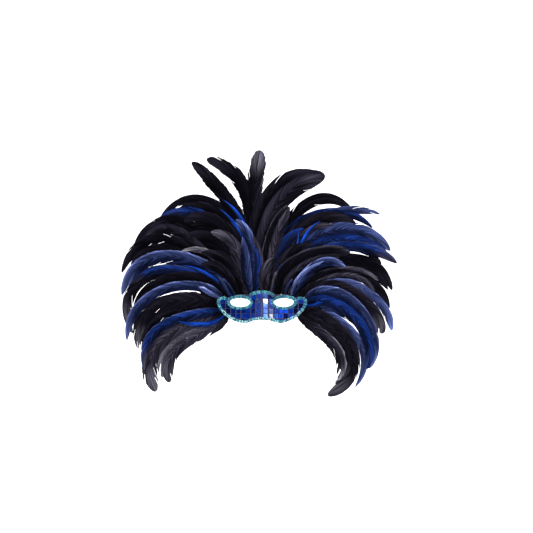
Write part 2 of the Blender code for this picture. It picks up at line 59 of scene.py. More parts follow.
# The half mask's outline from the front, and its depth
SHELL_WALL = 1.8
EYE_CENTRE = (32.75, 0.5)
EYE_HOLE = (17.3, 8.9)
EYE_RING = (18.9, 10.2)
HALF_OUTLINE = (
    # half width, height
    (0.0, 18.0), (8.0, 17.2), (15.0, 14.8), (20.5, 12.6), (27.0, 12.3), (34.0, 12.6), (41.0, 11.6),
    (47.0, 9.4), (53.0, 7.4), (60.0, 7.7), (66.0, 6.0), (69.3, 1.0), (67.6, -5.5), (62.5, -13.5),
    (55.5, -20.5), (46.5, -26.5), (36.0, -30.6), (26.5, -32.0), (18.0, -30.6), (10.0, -28.2), (0.0, -27.4),
)
HEAD_RADIUS = 100.0
TEMPLE_START = 53.0
TEMPLE_END = 70.0
EYE_PLANE = 12.0
BROW_RISE = 6.0
BROW_LEVELS = (2.0, 16.0)
BROW_FADE = 42.0
NOSE_HALF_WIDTH = 16.0
BROW_EXTRA_WIDTH = 5.0
NOSE_LEAN = 0.22
CHEEK_RISE = 2.0
CHEEK_PLACE = (32.0, -24.0)
CHEEK_SIZE = (9.0, 9.0)
SLOPE_STEP = 0.5

# The mosaic: a backing sheet and its tiles. The heights of both are counted from the mosaic's level.
MOSAIC_GAP = 0.9
MOSAIC_LEVEL = SHELL_WALL + MOSAIC_GAP
MOSAIC_INSET = 2.6
BACKING_OVERLAP = 1.4
BACKING_EYE_GAP = 0.6
BACKING_HEIGHTS = (-0.2, 0.5)
TILE_COLUMNS = range(-9, 9)
TILE_ROWS = range(-5, 4)
TILE_ROW_OFFSET = 2.0
TILE_EYE_GAP = 1.2
TILE_FOOT = 0.45
TILE_THICKNESS = 1.0
TILE_ROUND_EDGE = 0.25
TILE_TURN = 0.05
TILE_LEAN = 0.045
LEAST_TILE_AREA = 5.0
RIM_STEPS = 120
TILE_DEEP = (0.0004, 0.008, 0.110)
TILE_ROYAL = (0.002, 0.034, 0.330)
TILE_DARK = (0.0004, 0.003, 0.038)
TILE_LIGHT = (0.030, 0.110, 0.520)
DARK_SHARE = 0.25
LIGHT_SHARE = 0.10
# A painted highlight down the ridge of the nose
NOSE_SHINE = (0.050, 0.120, 0.560)
SHINE_PLACE = 1.5
SHINE_SIZE = 6.0
NOSE_LILAC = (0.160, 0.210, 0.640)
LILAC_PLACE = (12.0, -16.0)
LILAC_SIZE = (6.0, 10.0)
# Painted reflections: tiles near these points turn white on one side of a diagonal
GLINTS = ((4.0, 2.0), (12.0, -20.0))
GLINT_TONE = (0.82, 0.86, 0.96)
GLINT_AREA = 20.0

# The trims: ribs of three beads on a rounded tape
TRIM_INSET = 1.4
TRIM_LEVEL = SHELL_WALL + GAP + 0.3
RIM_START = 56.4
BROW_END = 17.6
TAPE_LIFT = 0.55
TAPE_HALF_WIDTH = 2.1
TAPE_HALF_THICKNESS = 0.8
TAPE_TONE = (0.01, 0.10, 0.15)
BEADS_APART = 1.6
BEAD_LIFT = 1.35
MIDDLE_BEAD_LIFT = 0.75
BEAD_DEEP = (0.004, 0.120, 0.220)
BEAD_AQUA = (0.130, 0.520, 0.600)
BEAD_WHITE = (0.520, 0.800, 0.820)
WHITE_BEADS_BELOW = -12.0
WHITE_SHARE = 0.4

# The fan: the strips that hold the quills, and how the fan's sheets lie behind one another
ROOT_INSET = 1.9
STRIP_HALF_HEIGHT = 1.4
STRIP_HALF_THICKNESS = 0.8
STRIP_GAP = 0.5
STRIP_STEP = STRIP_HALF_THICKNESS * 2 + STRIP_GAP
STRIP_END = 1.6
STRIP_ROW = 1.5
FAN_SETBACK = 20.0
FAN_APEX = 14.0
FAN_SLOPE = 0.36
FAN_SLOPE_LENGTH = 30.0
FAN_BLEND = 60.0
FAN_LEAN_UP = 0.12
FAN_LEAN_DOWN = 0.05
FAN_LEVELS = (-20.0, 20.0)
FAN_SPREAD = 3.8
FAN_SPREAD_LENGTH = 150.0
FAN_OPENING = 14.0
FAN_CORE = (52.0, -6.0, 19.0)
FAN_CORE_BROW = (6.0, 13.0)
PLUME_HALF_THICKNESS = 0.3
STAGGER = 1.2
ROOM_USED = 0.6

# A plume's vane and shaft. The sweep is in vane widths, and a step or an end is a share of the spine.
VANE_COLUMNS = 10
# The vane's colours: its own dark tone in painted shade, the painted light of its lit half, and its painted
# rim highlight
VANE_TONES = ("tone", "gloss", "rim")
VANE_ROLL = 0.16
VANE_CUP = (0.10, 0.22)
VANE_FOOT = 30.0
BARB_SWEEP = 1.5
BARB_CURVE = 1.35
LAST_ROOT = 0.7
SPINE_STEP = 0.01
TIP_START = 0.78
ROOT_SHADOW = (4.0, 40.0)
LOCK_SIZES = (3, 5, 7, 9, 12, 16)
SPLIT_CHANCE = 0.04
NOTCH_CHANCE = 0.15
SHAFT_ROW = 6.0
SHAFT_END = 0.93
SHAFT_TAPER = 0.5
SHAFT_TIP = 0.12
SHAFT_FLATNESS = 0.7
SHAFT_LIFT = 0.25

# How far apart the streaks of a vane's two sides are read, so that they don't mirror each other
HALF_APART = 60.0

# The down behind the rim: short tufts, spread along the rim between two ends
DOWN_COUNT = 62
DOWN_ENDS = (-104.0, 100.0)
DOWN_LENGTH = (11.0, 18.0)
DOWN_WIDTH = 8.0
DOWN_BEND = 0.3

# The studio, in metres and watts: paper on the floor that bends up into a wall, and lights
PAPER_HALF_WIDTH = 4.0
PAPER_PLACE = (0.0, -0.5, -0.75)
PAPER_BEND = (0.0, 3.5, 0.75)
PAPER_WALL = 4.9
PAPER_HEIGHT = 4.0
PAPER_POWER = 120.0
SOFTBOX_SIZE = 1.2
FAN_PLACE = (0.0, 0.05, 0.05)
VIEW_CENTRE = (0.0072, 0.0568)

# One look of plume: its dark half, in painted shade, its lit half, in painted light, its painted rim
# highlight and its tip, and how far its edges fray
Look = namedtuple("Look", "body gloss rim tip fray")

INK = (0.0010, 0.0008, 0.0019)
BLACK = (0.0022, 0.0019, 0.0038)
SOOT = (0.0058, 0.0051, 0.0092)
CHARCOAL = (0.0130, 0.0118, 0.0200)
TAUPE = (0.0290, 0.0262, 0.0400)
GREY = (0.0620, 0.0590, 0.0740)
ASH = (0.1400, 0.1350, 0.1600)
MIDNIGHT = (0.0024, 0.0042, 0.0180)
NAVY = (0.0034, 0.0085, 0.0440)
ROYAL = (0.0044, 0.0170, 0.1050)
VIVID = (0.0040, 0.0420, 0.3300)
DUSK = (0.0170, 0.0260, 0.0820)
STEEL = (0.0330, 0.0450, 0.1250)
PERIWINKLE = (0.0900, 0.1150, 0.2900)
PALE = (0.2100, 0.2500, 0.4800)

LOOKS = {
    "black": Look(INK, BLACK, SOOT, SOOT, 0.8),
    "soot": Look(INK, SOOT, SOOT, CHARCOAL, 0.9),
    "charcoal": Look(BLACK, CHARCOAL, SOOT, TAUPE, 1.0),
    "taupe": Look(SOOT, TAUPE, CHARCOAL, TAUPE, 1.0),
    "grey": Look(CHARCOAL, TAUPE, TAUPE, GREY, 1.2),
    "ash": Look(TAUPE, GREY, GREY, ASH, 1.3),
    "navy": Look(MIDNIGHT, NAVY, ROYAL, NAVY, 0.8),
    "blue": Look(MIDNIGHT, ROYAL, ROYAL, DUSK, 0.8),
    "bright": Look(ROYAL, VIVID, VIVID, ROYAL, 0.7),
    "steel": Look(MIDNIGHT, DUSK, STEEL, STEEL, 0.9),
    "blue_grey": Look(MIDNIGHT, ROYAL, STEEL, TAUPE, 0.9),
    "blue_lit_rim": Look(MIDNIGHT, DUSK, PERIWINKLE, STEEL, 0.8),
    "blue_pale": Look(DUSK, STEEL, PERIWINKLE, STEEL, 0.9),
    "pale": Look(STEEL, PERIWINKLE, PALE, PERIWINKLE, 0.9),
    "black_grey": Look(BLACK, SOOT, CHARCOAL, GREY, 1.0),
    "black_lit_rim": Look(INK, BLACK, TAUPE, SOOT, 1.0),
    "ragged": Look(INK, SOOT, TAUPE, GREY, 1.8),
    "tattered": Look(INK, BLACK, SOOT, CHARCOAL, 1.7),
    "fuzzy": Look(SOOT, CHARCOAL, ASH, GREY, 1.5),
    "fibres": Look(TAUPE, GREY, ASH, ASH, 1.5),
}

# One plume: where its quill leaves the rim, in mm along the rim from the middle of the brow, then three
# points of its spine as x and z, its greatest width, its look and how blunt its tip is.
Plume = namedtuple("Plume", "rim low_x low_z high_x high_z tip_x tip_z width look blunt")

# One bunch: its name, its side of the fan, its place in the stack of strips, its layer in the open fan
# and its plumes.
Bunch = namedtuple("Bunch", "name side strip layer plumes")

BUNCHES = (
    Bunch("plume_blue_pillar", "crown", 0, 0, (
        Plume(3.0, 0, 35, 5, 55, 17, 71, 14, "grey", 0.2),
        Plume(-13.5, -8, 36, -7, 62, -14, 90, 15, "blue", 0.2),
        Plume(-18.0, -24, 45, -27, 75, -31, 105, 16, "steel", 0.2),
        Plume(-2.0, -1, 50, -5, 80, -14, 107, 12, "taupe", 0.2),
        Plume(-9.0, -13, 55, -19, 95, -42, 132, 18, "blue_lit_rim", 0.7),
    )),
    Bunch("plume_left_front", "left", 0, 0, (
        Plume(-65.5, -74, 10, -87, 17.5, -102, 24, 11, "pale", 0.1),
        Plume(-62.0, -112, 26, -186, 4, -218, -63, 16, "blue_lit_rim", 0.6),
    )),
    Bunch("plume_left_low_front", "left", 0, 0, (
        Plume(-97.0, -82, -34, -108, -36, -136, -31, 8, "bright", 0.1),
        Plume(-92.0, -108, -20, -165, -42, -190, -110, 16, "blue_grey", 0.6),
    )),
    Bunch("plume_right_curl", "right", 0, 0, (
        Plume(48.5, 60, 40, 80, 56, 99, 65, 7, "pale", 0.1),
        Plume(52.0, 62, 34, 94, 62, 134, 56, 16, "blue_lit_rim", 0.6),
    )),
    Bunch("plume_right_low", "right", 0, 0, (
        Plume(99.0, 88, -44, 124, -84, 121, -126, 19, "fuzzy", 0.7),
        Plume(95.0, 98, -36, 138, -84, 117, -131, 19, "black_grey", 0.7),
        Plume(91.0, 108, -32, 146, -82, 105, -150, 21, "black_grey", 0.9),
    )),
    Bunch("plume_left_inner", "left", 0, 1, (
        Plume(-53.0, -57, 17, -63, 28, -70, 41, 12, "steel", 0.2),
        Plume(-44.5, -48, 19, -54, 28, -63, 38, 11, "steel", 0.2),
        Plume(-38.0, -48, 36, -68, 54, -98, 60, 18, "soot", 0.4),
        Plume(-33.0, -40, 47, -62, 70, -98, 78, 19, "soot", 0.4),
        Plume(-29.0, -31, 40, -38, 62, -52, 87, 14, "taupe", 0.4),
        Plume(-25.0, -30, 52, -44, 90, -82, 112, 19, "grey", 0.7),
    )),
    Bunch("plume_right_inner", "right", 0, 1, (
        Plume(43.0, 43, 15, 45, 20, 49, 27, 7, "taupe", 0.2),
        Plume(38.0, 39, 19, 43, 28, 49, 37, 7, "steel", 0.2),
        Plume(14.5, 16.5, 25, 18.5, 37, 22, 49, 9, "ash", 0.2),
        Plume(18.5, 21, 32, 26, 48, 33, 62, 9, "navy", 0.2),
        Plume(27.0, 36, 49, 86, 77, 142, 79, 22, "black_lit_rim", 0.7),
        Plume(33.0, 50, 44, 86, 68, 128, 75, 16, "charcoal", 0.7),
        Plume(22.5, 27, 55, 50, 82, 83, 93, 16, "soot", 0.4),
    )),
    Bunch("plume_right_wing", "right", 0, 1, (
        Plume(78.0, 76, -6, 86, -4, 98, -1, 8, "bright", 0.1),
        Plume(74.0, 108, 0, 160, -40, 169, -109, 18, "blue", 0.6),
        Plume(70.0, 112, 16, 172, -36, 172, -108, 19, "blue_lit_rim", 0.6),
    )),
    Bunch("plume_left_wing", "left", 0, 1, (
        Plume(-75.0, -80, -3, -95, -5, -112, -5, 8, "blue", 0.1),
        Plume(-71.0, -112, 4, -177, -12, -200, -78, 26, "black_grey", 0.4),
        Plume(-79.0, -112, -9, -168, -27, -192, -80, 19, "soot", 0.7),
    )),
    Bunch("plume_left_low_back", "left", 1, 1, (
        Plume(-103.0, -100, -52, -142, -82, -149, -130, 20, "grey", 0.9),
        Plume(-99.0, -108, -46, -152, -78, -160, -122, 22, "ash", 0.7),
        Plume(-95.0, -116, -34, -172, -75, -171, -145, 26, "grey", 0.9),
    )),
    Bunch("plume_crown_inner", "crown", 1, 2, (
        Plume(4.0, 4, 62, 17, 115, 41, 155, 14, "black_lit_rim", 0.7),
        Plume(8.0, 15, 62, 26, 110, 44, 153, 18, "taupe", 0.7),
        Plume(16.5, 42, 60, 56, 90, 58, 114, 5, "bright", 0.1),
        Plume(12.0, 24, 70, 42, 100, 67, 118, 19, "navy", 0.4),
    )),
    Bunch("plume_left_mid", "left", 1, 2, (
        Plume(-48.0, -72, 34, -98, 50, -128, 59, 5, "bright", 0.1),
        Plume(-39.0, -62, 58, -88, 79, -131, 81, 12, "fibres", 0.4),
        Plume(-44.0, -98, 60, -178, 69, -227, 10, 22, "blue_lit_rim", 0.6),
        Plume(-52.0, -105, 38, -172, 27, -206, -27, 19, "black", 0.7),
    )),
    Bunch("plume_right_mid", "right", 1, 2, (
        Plume(60.0, 98, 27, 158, 8, 194, -52, 18, "black_grey", 1.0),
        Plume(64.0, 88, 21, 122, 19, 153, 3, 9, "taupe", 0.4),
    )),
    Bunch("plume_right_wing_back", "right", 1, 2, (
        Plume(76.0, 76, -9, 86, -11, 97, -13, 11, "black", 0.1),
        Plume(80.0, 106, -10, 156, -36, 170, -100, 13, "blue_lit_rim", 0.6),
        Plume(84.0, 120, -27, 160, -71, 150, -138, 13, "blue_pale", 0.6),
    )),
    Bunch("plume_crown_front", "crown", 2, 3, (
        Plume(2.0, 4, 112, 38, 172, 102, 203, 32, "charcoal", 0.9),
        Plume(-6.0, -14, 110, 18, 182, 92, 208, 20, "soot", 0.7),
    )),
    Bunch("plume_left_upper", "left", 2, 3, (
        Plume(-33.0, -54, 74, -84, 102, -118, 110, 24, "black", 0.4),
        Plume(-25.0, -44, 90, -80, 126, -126, 130, 32, "black", 0.7),
        Plume(-42.0, -98, 62, -165, 86, -213, 60, 16, "black", 0.7),
        Plume(-38.0, -98, 75, -168, 101, -228, 46, 19, "black", 0.7),
        Plume(-49.0, -100, 42, -165, 52, -218, 26, 15, "blue_grey", 0.7),
    )),
    Bunch("plume_right_upper", "right", 2, 3, (
        Plume(33.0, 56, 66, 70, 106, 94, 130, 8, "bright", 0.1),
        Plume(37.0, 80, 76, 145, 90, 219, 62, 18, "blue_grey", 0.7),
        Plume(29.0, 78, 90, 140, 101, 203, 78, 19, "blue", 0.7),
        Plume(24.0, 72, 98, 140, 117, 208, 82, 23, "steel", 0.7),
        Plume(18.0, 48, 90, 84, 120, 118, 121, 12, "taupe", 0.7),
        Plume(12.0, 40, 98, 88, 132, 152, 126, 20, "soot", 0.7),
    )),
    Bunch("plume_right_back", "right", 2, 3, (
        Plume(58.0, 104, 33, 168, 18, 210, -47, 14, "blue_pale", 0.9),
        Plume(54.0, 100, 36, 150, 41, 184, 8, 11, "taupe", 0.7),
        Plume(50.0, 102, 42, 163, 38, 206, -12, 16, "black", 0.7),
    )),
    Bunch("plume_crown_back", "crown", 3, 4, (
        Plume(-13.0, -24, 75, -45, 126, -70, 150, 8, "bright", 0.1),
        Plume(-10.0, -19, 96, -32, 131, -65, 165, 8, "bright", 0.1),
        Plume(1.0, -12, 95, -12, 178, -3, 244, 25, "ragged", 1.0),
        Plume(-7.0, -24, 108, -62, 172, -114, 226, 22, "tattered", 0.8),
        Plume(-3.0, -14, 110, -33, 190, -90, 230, 23, "tattered", 0.9),
    )),
    Bunch("plume_left_outer", "left", 3, 4, (
        Plume(-47.0, -108, 52, -200, 30, -210, -52, 19, "black_grey", 0.7),
        Plume(-38.5, -90, 78, -150, 119, -204, 75, 20, "charcoal", 0.7),
        Plume(-31.5, -78, 88, -132, 131, -190, 118, 16, "black", 0.7),
        Plume(-34.5, -92, 92, -155, 127, -208, 91, 16, "black", 0.7),
    )),
    Bunch("plume_right_outer", "right", 3, 4, (
        Plume(48.0, 95, 45, 148, 52, 189, 34, 11, "grey", 0.7),
        Plume(45.0, 92, 48, 155, 56, 204, 19, 15, "black", 0.7),
        Plume(41.5, 90, 56, 160, 67, 211, 18, 19, "black", 0.7),
        Plume(38.0, 95, 76, 152, 86, 194, 61, 12, "black", 0.7),
    )),
    Bunch("plume_left_top", "left", 3, 5, (
        Plume(-26.0, -42, 88, -92, 137, -168, 134, 18, "blue", 0.7),
        Plume(-22.5, -37, 110, -86, 150, -136, 149, 19, "black", 0.7),
        Plume(-19.5, -32, 116, -98, 165, -166, 135, 16, "black", 0.6),
    )),
    Bunch("plume_right_top", "right", 3, 5, (
        Plume(16.0, 56, 126, 112, 145, 180, 119, 14, "navy", 0.7),
        Plume(20.0, 62, 118, 125, 146, 192, 142, 15, "steel", 0.7),
        Plume(12.0, 40, 118, 92, 161, 151, 143, 11, "black", 0.7),
        Plume(8.0, 35, 122, 90, 169, 146, 150, 12, "black", 0.7),
    )),
)


def smoothstep(value, low, high):
    """Rises smoothly from 0 at low to 1 at high."""
    t = min(max((value - low) / (high - low), 0.0), 1.0)
    return t * t * (3 - 2 * t)


def side_depth(x):
    """How far the mask and the fan have bent back at x: an arc, a flat temple, then a slackening slope."""
    half = min(abs(x), TEMPLE_START)
    depth = HEAD_RADIUS - math.sqrt(HEAD_RADIUS ** 2 - half ** 2)
    temple_slope = TEMPLE_START / math.sqrt(HEAD_RADIUS ** 2 - TEMPLE_START ** 2)
    depth += temple_slope * (min(abs(x), TEMPLE_END) - half)
    beyond = max(abs(x) - TEMPLE_END, 0.0)
    slackening = (temple_slope - FAN_SLOPE) * FAN_SLOPE_LENGTH * (1 - math.exp(-beyond / FAN_SLOPE_LENGTH))
    return depth + FAN_SLOPE * beyond + slackening


def inner_depth(x, z):
    """Depth of the mask's inner face."""
    brow = smoothstep(z, *BROW_LEVELS) * (1 - smoothstep(abs(x), BROW_FADE, TEMPLE_START))
    ridge_width = NOSE_HALF_WIDTH + BROW_EXTRA_WIDTH * brow
    ridge = math.exp(-(x / ridge_width) ** 2)
    cheek_x = (abs(x) - CHEEK_PLACE[0]) / CHEEK_SIZE[0]
    cheek_z = (z - CHEEK_PLACE[1]) / CHEEK_SIZE[1]
    cheek = math.exp(-cheek_x ** 2 - cheek_z ** 2)
    plane = EYE_PLANE - BROW_RISE * brow + side_depth(x)
    return NOSE_LEAN * min(z, 0.0) * ridge + plane * (1 - ridge) - CHEEK_RISE * cheek * (1 - ridge)


def face_normal(x, z):
    """The direction out of the mask's front at a point."""
    slope_x = (inner_depth(x + SLOPE_STEP, z) - inner_depth(x - SLOPE_STEP, z)) / (2 * SLOPE_STEP)
    slope_z = (inner_depth(x, z + SLOPE_STEP) - inner_depth(x, z - SLOPE_STEP)) / (2 * SLOPE_STEP)
    return Vector((slope_x, -1.0, slope_z)).normalized()


def face_point(x, z, height):
    """The point at a height in front of the mask's inner face, square to it, in metres."""
    return (Vector((x, inner_depth(x, z), z)) + face_normal(x, z) * height) * MM


def spline(points, steps):
    """Points on a smooth curve through the half outline, square to the middle plane at both ends."""
    first = (-points[1][0], points[1][1])
    last = (-points[-2][0], points[-2][1])
    chain = (first, *points, last)
    curve = []
    for a, b, c, d in zip(chain, chain[1:], chain[2:], chain[3:]):
        for step in range(steps):
            t = step / steps
            curve.append(tuple(
                b[k] + 0.5 * t * (c[k] - a[k] + t * (2 * a[k] - 5 * b[k] + 4 * c[k] - d[k]
                                                     + t * (3 * (b[k] - c[k]) + d[k] - a[k])))
                for k in (0, 1)))
    curve.append(points[-1])
    return curve


RIM = spline(HALF_OUTLINE, steps=6)
RIM_LENGTHS = [0.0]
for start, end in zip(RIM, RIM[1:]):
    RIM_LENGTHS.append(RIM_LENGTHS[-1] + math.dist(start, end))
RIM_LENGTH = RIM_LENGTHS[-1]


def rim_point(along, inset):
    """The point at a length along the rim from the middle of the brow, moved in from the edge."""
    length = min(abs(along), RIM_LENGTH)
    index = 1
    while RIM_LENGTHS[index] < length and index < len(RIM) - 1:
        index += 1
    (x0, z0), (x1, z1) = RIM[index - 1], RIM[index]
    span = RIM_LENGTHS[index] - RIM_LENGTHS[index - 1]
    t = (length - RIM_LENGTHS[index - 1]) / span
    x = x0 + (x1 - x0) * t + (z1 - z0) / span * inset
    z = z0 + (z1 - z0) * t - (x1 - x0) / span * inset
    return math.copysign(x, along), z


def ellipse(centre, radii, count):
    """Points round an upright ellipse, counter-clockwise."""
    turns = (2 * math.pi * k / count for k in range(count))
    return [(centre[0] + radii[0] * math.cos(turn), centre[1] + radii[1] * math.sin(turn)) for turn in turns]


def fan_distance(x, z):
    """How far a point lies outside the middle of the mask."""
    core = FAN_CORE[2] + FAN_CORE_BROW[0] * math.exp(-(x / FAN_CORE_BROW[1]) ** 2)
    return max(math.hypot(max(abs(x) - FAN_CORE[0], 0.0), z - FAN_CORE[1]) - core, 0.0)


def fan_depth(x, z, bunch, place):
    """Depth of one plume's sheet: at its bunch's strip behind the rim, then in its layer of the open fan."""
    distance = fan_distance(x, z)
    own = inner_depth(x, z)
    broad = FAN_SETBACK + math.hypot(FAN_APEX, FAN_SLOPE * x) - FAN_APEX
    base = own + (broad - own) * smoothstep(distance, 0.0, FAN_BLEND) + GAP + STRIP_HALF_THICKNESS
    base += FAN_LEAN_UP * max(z - FAN_LEVELS[1], 0.0) + FAN_LEAN_DOWN * max(FAN_LEVELS[0] - z, 0.0)
    spread = STRIP_STEP + FAN_SPREAD * min(distance / FAN_SPREAD_LENGTH, 1.0)
    opened = smoothstep(distance, 0.0, FAN_OPENING)
    room = spread - 2 * PLUME_HALF_THICKNESS - STRIP_GAP
    count = len(bunch.plumes)
    step = min(room / (count - 1) * ROOM_USED, STAGGER)
    base += (place - (count - 1) / 2) * step
    return base + bunch.strip * STRIP_STEP * (1 - opened) + bunch.layer * spread * opened


def plume_spine(plume):
    """The spine through a plume's four points: a function of the share of its length, and its length."""
    points = [Vector(rim_point(plume.rim, ROOT_INSET)), Vector((plume.low_x, plume.low_z)),
              Vector((plume.high_x, plume.high_z)), Vector((plume.tip_x, plume.tip_z))]
    knots = [0.0]
    for near, far in zip(points, points[1:]):
        knots.append(knots[-1] + (far - near).length)
    length = knots[-1]
    knots = [knot / length for knot in knots]

    def at(share):
        total = Vector((0.0, 0.0))
        for i, point in enumerate(points):
            weight = math.prod((share - knots[j]) / (knots[i] - knots[j]) for j in range(4) if j != i)
            total += point * weight
        return total
    return at, length


def spine_way(at, share):
    """The spine's direction at a share of its length."""
    return (at(min(share + SPINE_STEP, 1.0)) - at(max(share - SPINE_STEP, 0.0))).normalized()


def mixed(a, b, share):
    """A colour between two colours."""
    return tuple(p + (q - p) * share for p, q in zip(a, b))


def finish_piece(name, bm, materials, replaced, smooth=True):
    """Turns a mesh into a piece that rides on the mask and stands for its CAD nodes."""
    mesh = bpy.data.meshes.new(name)
    bm.to_mesh(mesh)
    bm.free()
    if smooth:
        mesh.shade_smooth()
        mesh.set_sharp_from_angle(angle=math.radians(50))
    for material in materials:
        mesh.materials.append(material)
    piece = bpy.data.objects.new(name, mesh)
    bpy.context.scene.collection.objects.link(piece)
    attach(piece, "root")
    if replaced:
        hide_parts(*replaced)


class Tree:
    """Adds nodes to a material and links them."""

    def __init__(self, name):
        self.material = bpy.data.materials.new(name)
        self.material.use_nodes = True
        self.nodes = self.material.node_tree.nodes
        self.links = self.material.node_tree.links
        self.shader = self.nodes["Principled BSDF"]

    def add(self, kind, inputs=None, **settings):
        """A node with its settings, and with each named input set to a value or linked to a socket."""
        node = self.nodes.new(kind)
        for key, value in settings.items():
            setattr(node, key, value)
        for key, value in (inputs or {}).items():
            self.feed(node.inputs[key], value)
        return node

    def feed(self, socket, value):
        if isinstance(value, bpy.types.NodeSocket):
            self.links.new(value, socket)
        else:
            socket.default_value = value

    def shade(self, **inputs):
        """Sets the shader's inputs, whose names are given with underscores for spaces."""
        for key, value in inputs.items():
            self.feed(self.shader.inputs[key.replace("_", " ")], value)

    def ramp(self, fac, low, high, start=0.0, end=1.0):
        """A value that goes from low to high as fac goes from start to end."""
        node = self.add("ShaderNodeMapRange", {"Value": fac, "From Min": start, "From Max": end,
                                               "To Min": low, "To Max": high})
        return node.outputs["Result"]

    def blend(self, fac, first, second):
        """A colour between two colours."""
        node = self.add("ShaderNodeMix", {"Factor": fac}, data_type="RGBA")
        self.feed(node.inputs[6], first)
        self.feed(node.inputs[7], second)
        return node.outputs[2]

    def bump(self, height, strength, distance):
        node = self.add("ShaderNodeBump", {"Height": height, "Strength": strength, "Distance": distance})
        return node.outputs["Normal"]

    def place(self):
        """The point in the object's own space."""
        return self.add("ShaderNodeTexCoord").outputs["Object"]

    def attribute(self, name, output="Color"):
        return self.add("ShaderNodeAttribute", attribute_name=name).outputs[output]

    def noise(self, place, scale, detail, roughness=0.5):
        node = self.add("ShaderNodeTexNoise", {"Vector": place, "Scale": scale, "Detail": detail,
                                               "Roughness": roughness})
        return node.outputs["Fac"]

    def scaled(self, colour, level):
        """A colour made darker or lighter by a level."""
        node = self.add("ShaderNodeVectorMath", {0: colour, "Scale": level}, operation="SCALE")
        return node.outputs[0]

    def math(self, operation, *values):
        """A number worked out from two or three others."""
        return self.add("ShaderNodeMath", dict(enumerate(values)), operation=operation).outputs[0]


def plume_material(tree):
    """Barbs: a half in painted light and a half in painted shade that run into each other in long streaks,
    and a painted highlight along the outer rim.
    """
    tone, gloss, rim = (tree.attribute(name) for name in VANE_TONES)
    profile = tree.attribute("profile", "Fac")
    barbs = tree.add("ShaderNodeUVMap", uv_map="barbs").outputs["UV"]
    fine = tree.add("ShaderNodeMapping", {"Vector": barbs, "Scale": (0.42, 0.05, 1.0)}).outputs["Vector"]
    broad = tree.add("ShaderNodeMapping", {"Vector": barbs, "Scale": (0.09, 0.03, 1.0)}).outputs["Vector"]
    streaks = tree.noise(fine, 1.0, 4.0, 0.65)
    streak = tree.ramp(streaks, -0.5, 0.5, 0.3, 0.7)
    drift = tree.ramp(tree.noise(broad, 1.0, 3.0), -0.4, 0.4, 0.3, 0.7)
    place = tree.math("MULTIPLY_ADD", tree.math("ADD", streak, drift), 0.8, profile)
    lit_in = tree.ramp(place, 0.0, 1.0, -0.25, 0.45)
    lit_out = tree.ramp(place, 1.0, 0.25, 0.6, 1.1)
    colour = tree.blend(tree.math("MULTIPLY", lit_in, lit_out), tone, gloss)
    # A painted highlight along the outer rim
    colour = tree.blend(tree.ramp(profile, 0.0, 0.9, 0.65, 0.95), colour, rim)
    colour = tree.scaled(colour, tree.ramp(streaks, 0.0, 2.8, 0.33, 0.72))
    normal = tree.bump(streaks, 0.35, 0.0006)
    tree.shade(Base_Color=colour, Roughness=0.5, Normal=normal, IOR=1.2, Specular_IOR_Level=0.06)


def tape_material(tree):
    """The tape that binds the quills: black twill."""
    place = tree.place()
    twill = tree.add("ShaderNodeTexWave", {"Vector": place, "Scale": 900.0, "Distortion": 1.0},
                     bands_direction="DIAGONAL")
    colour = tree.blend(tree.noise(place, 400.0, 3.0), (0.006, 0.006, 0.009, 1.0), (0.020, 0.020, 0.028, 1.0))
    tree.shade(Base_Color=colour, Roughness=0.8, Normal=tree.bump(twill.outputs["Fac"], 0.4, 0.0003))


def felt_material(tree):
    """The shell's inner side: dark navy felt."""
    place = tree.place()
    colour = tree.blend(tree.noise(place, 60.0, 2.0), (0.010, 0.016, 0.055, 1.0), (0.022, 0.034, 0.110, 1.0))
    normal = tree.bump(tree.noise(place, 1200.0, 4.0, 0.7), 0.6, 0.0004)
    tree.shade(Base_Color=colour, Roughness=0.9, Normal=normal, Sheen_Weight=0.3)


def tile_material(tree):
    """Foil tiles: blue mirror film that wavers a little, in small chips that are darker or lighter."""
    place = tree.place()
    waver = tree.noise(place, 130.0, 2.0)
    chips = tree.add("ShaderNodeTexVoronoi", {"Vector": place, "Scale": 420.0})
    colour = tree.scaled(tree.attribute("tone"), tree.ramp(chips.outputs["Color"], 0.45, 1.7))
    tree.shade(Base_Color=colour, Metallic=1.0, Roughness=tree.ramp(waver, 0.10, 0.26, 0.3, 0.7),
               Normal=tree.bump(waver, 0.35, 0.0008), Coat_Weight=0.03, Coat_Roughness=0.08)


def backing_material(tree):
    """The sheet under the tiles: a clouded dark blue foil that shows in the joints."""
    cloud = tree.noise(tree.place(), 350.0, 3.0)
    colour = tree.blend(cloud, (0.006, 0.012, 0.060, 1.0), (0.060, 0.070, 0.190, 1.0))
    tree.shade(Base_Color=colour, Roughness=0.45, Metallic=0.3)


def bead_material(tree):
    """Seed beads and their tape: glossy aqua to turquoise."""
    level = tree.ramp(tree.noise(tree.place(), 500.0, 1.0), 0.8, 1.2, 0.3, 0.7)
    colour = tree.scaled(tree.attribute("tone"), level)
    tree.shade(Base_Color=colour, Roughness=0.2, Coat_Weight=0.15, Coat_Roughness=0.05)


def studio_material(tree):
    """White paper that stays even."""
    cloud = tree.noise(tree.place(), 6.0, 2.0)
    colour = tree.blend(cloud, (0.90, 0.90, 0.90, 1.0), (0.93, 0.93, 0.93, 1.0))
    tree.shade(Base_Color=colour, Roughness=0.9, Specular_IOR_Level=0.1)


def once(dress):
    """The material that a function dresses, made only the first time and named after the function."""
    known = bpy.data.materials.get(dress.__name__)
    if known is None:
        tree = Tree(dress.__name__)
        dress(tree)
        known = tree.material
    return known


def mapped_grid(bm, across, along, place):
    """A grid whose points are moved to where place(u, v) says, with u and v from 0 to 1."""
    made = bmesh.ops.create_grid(bm, x_segments=across, y_segments=along, size=0.5)
    for vert in made["verts"]:
        vert.co = place(vert.co.x + 0.5, vert.co.y + 0.5)
    return made["verts"]


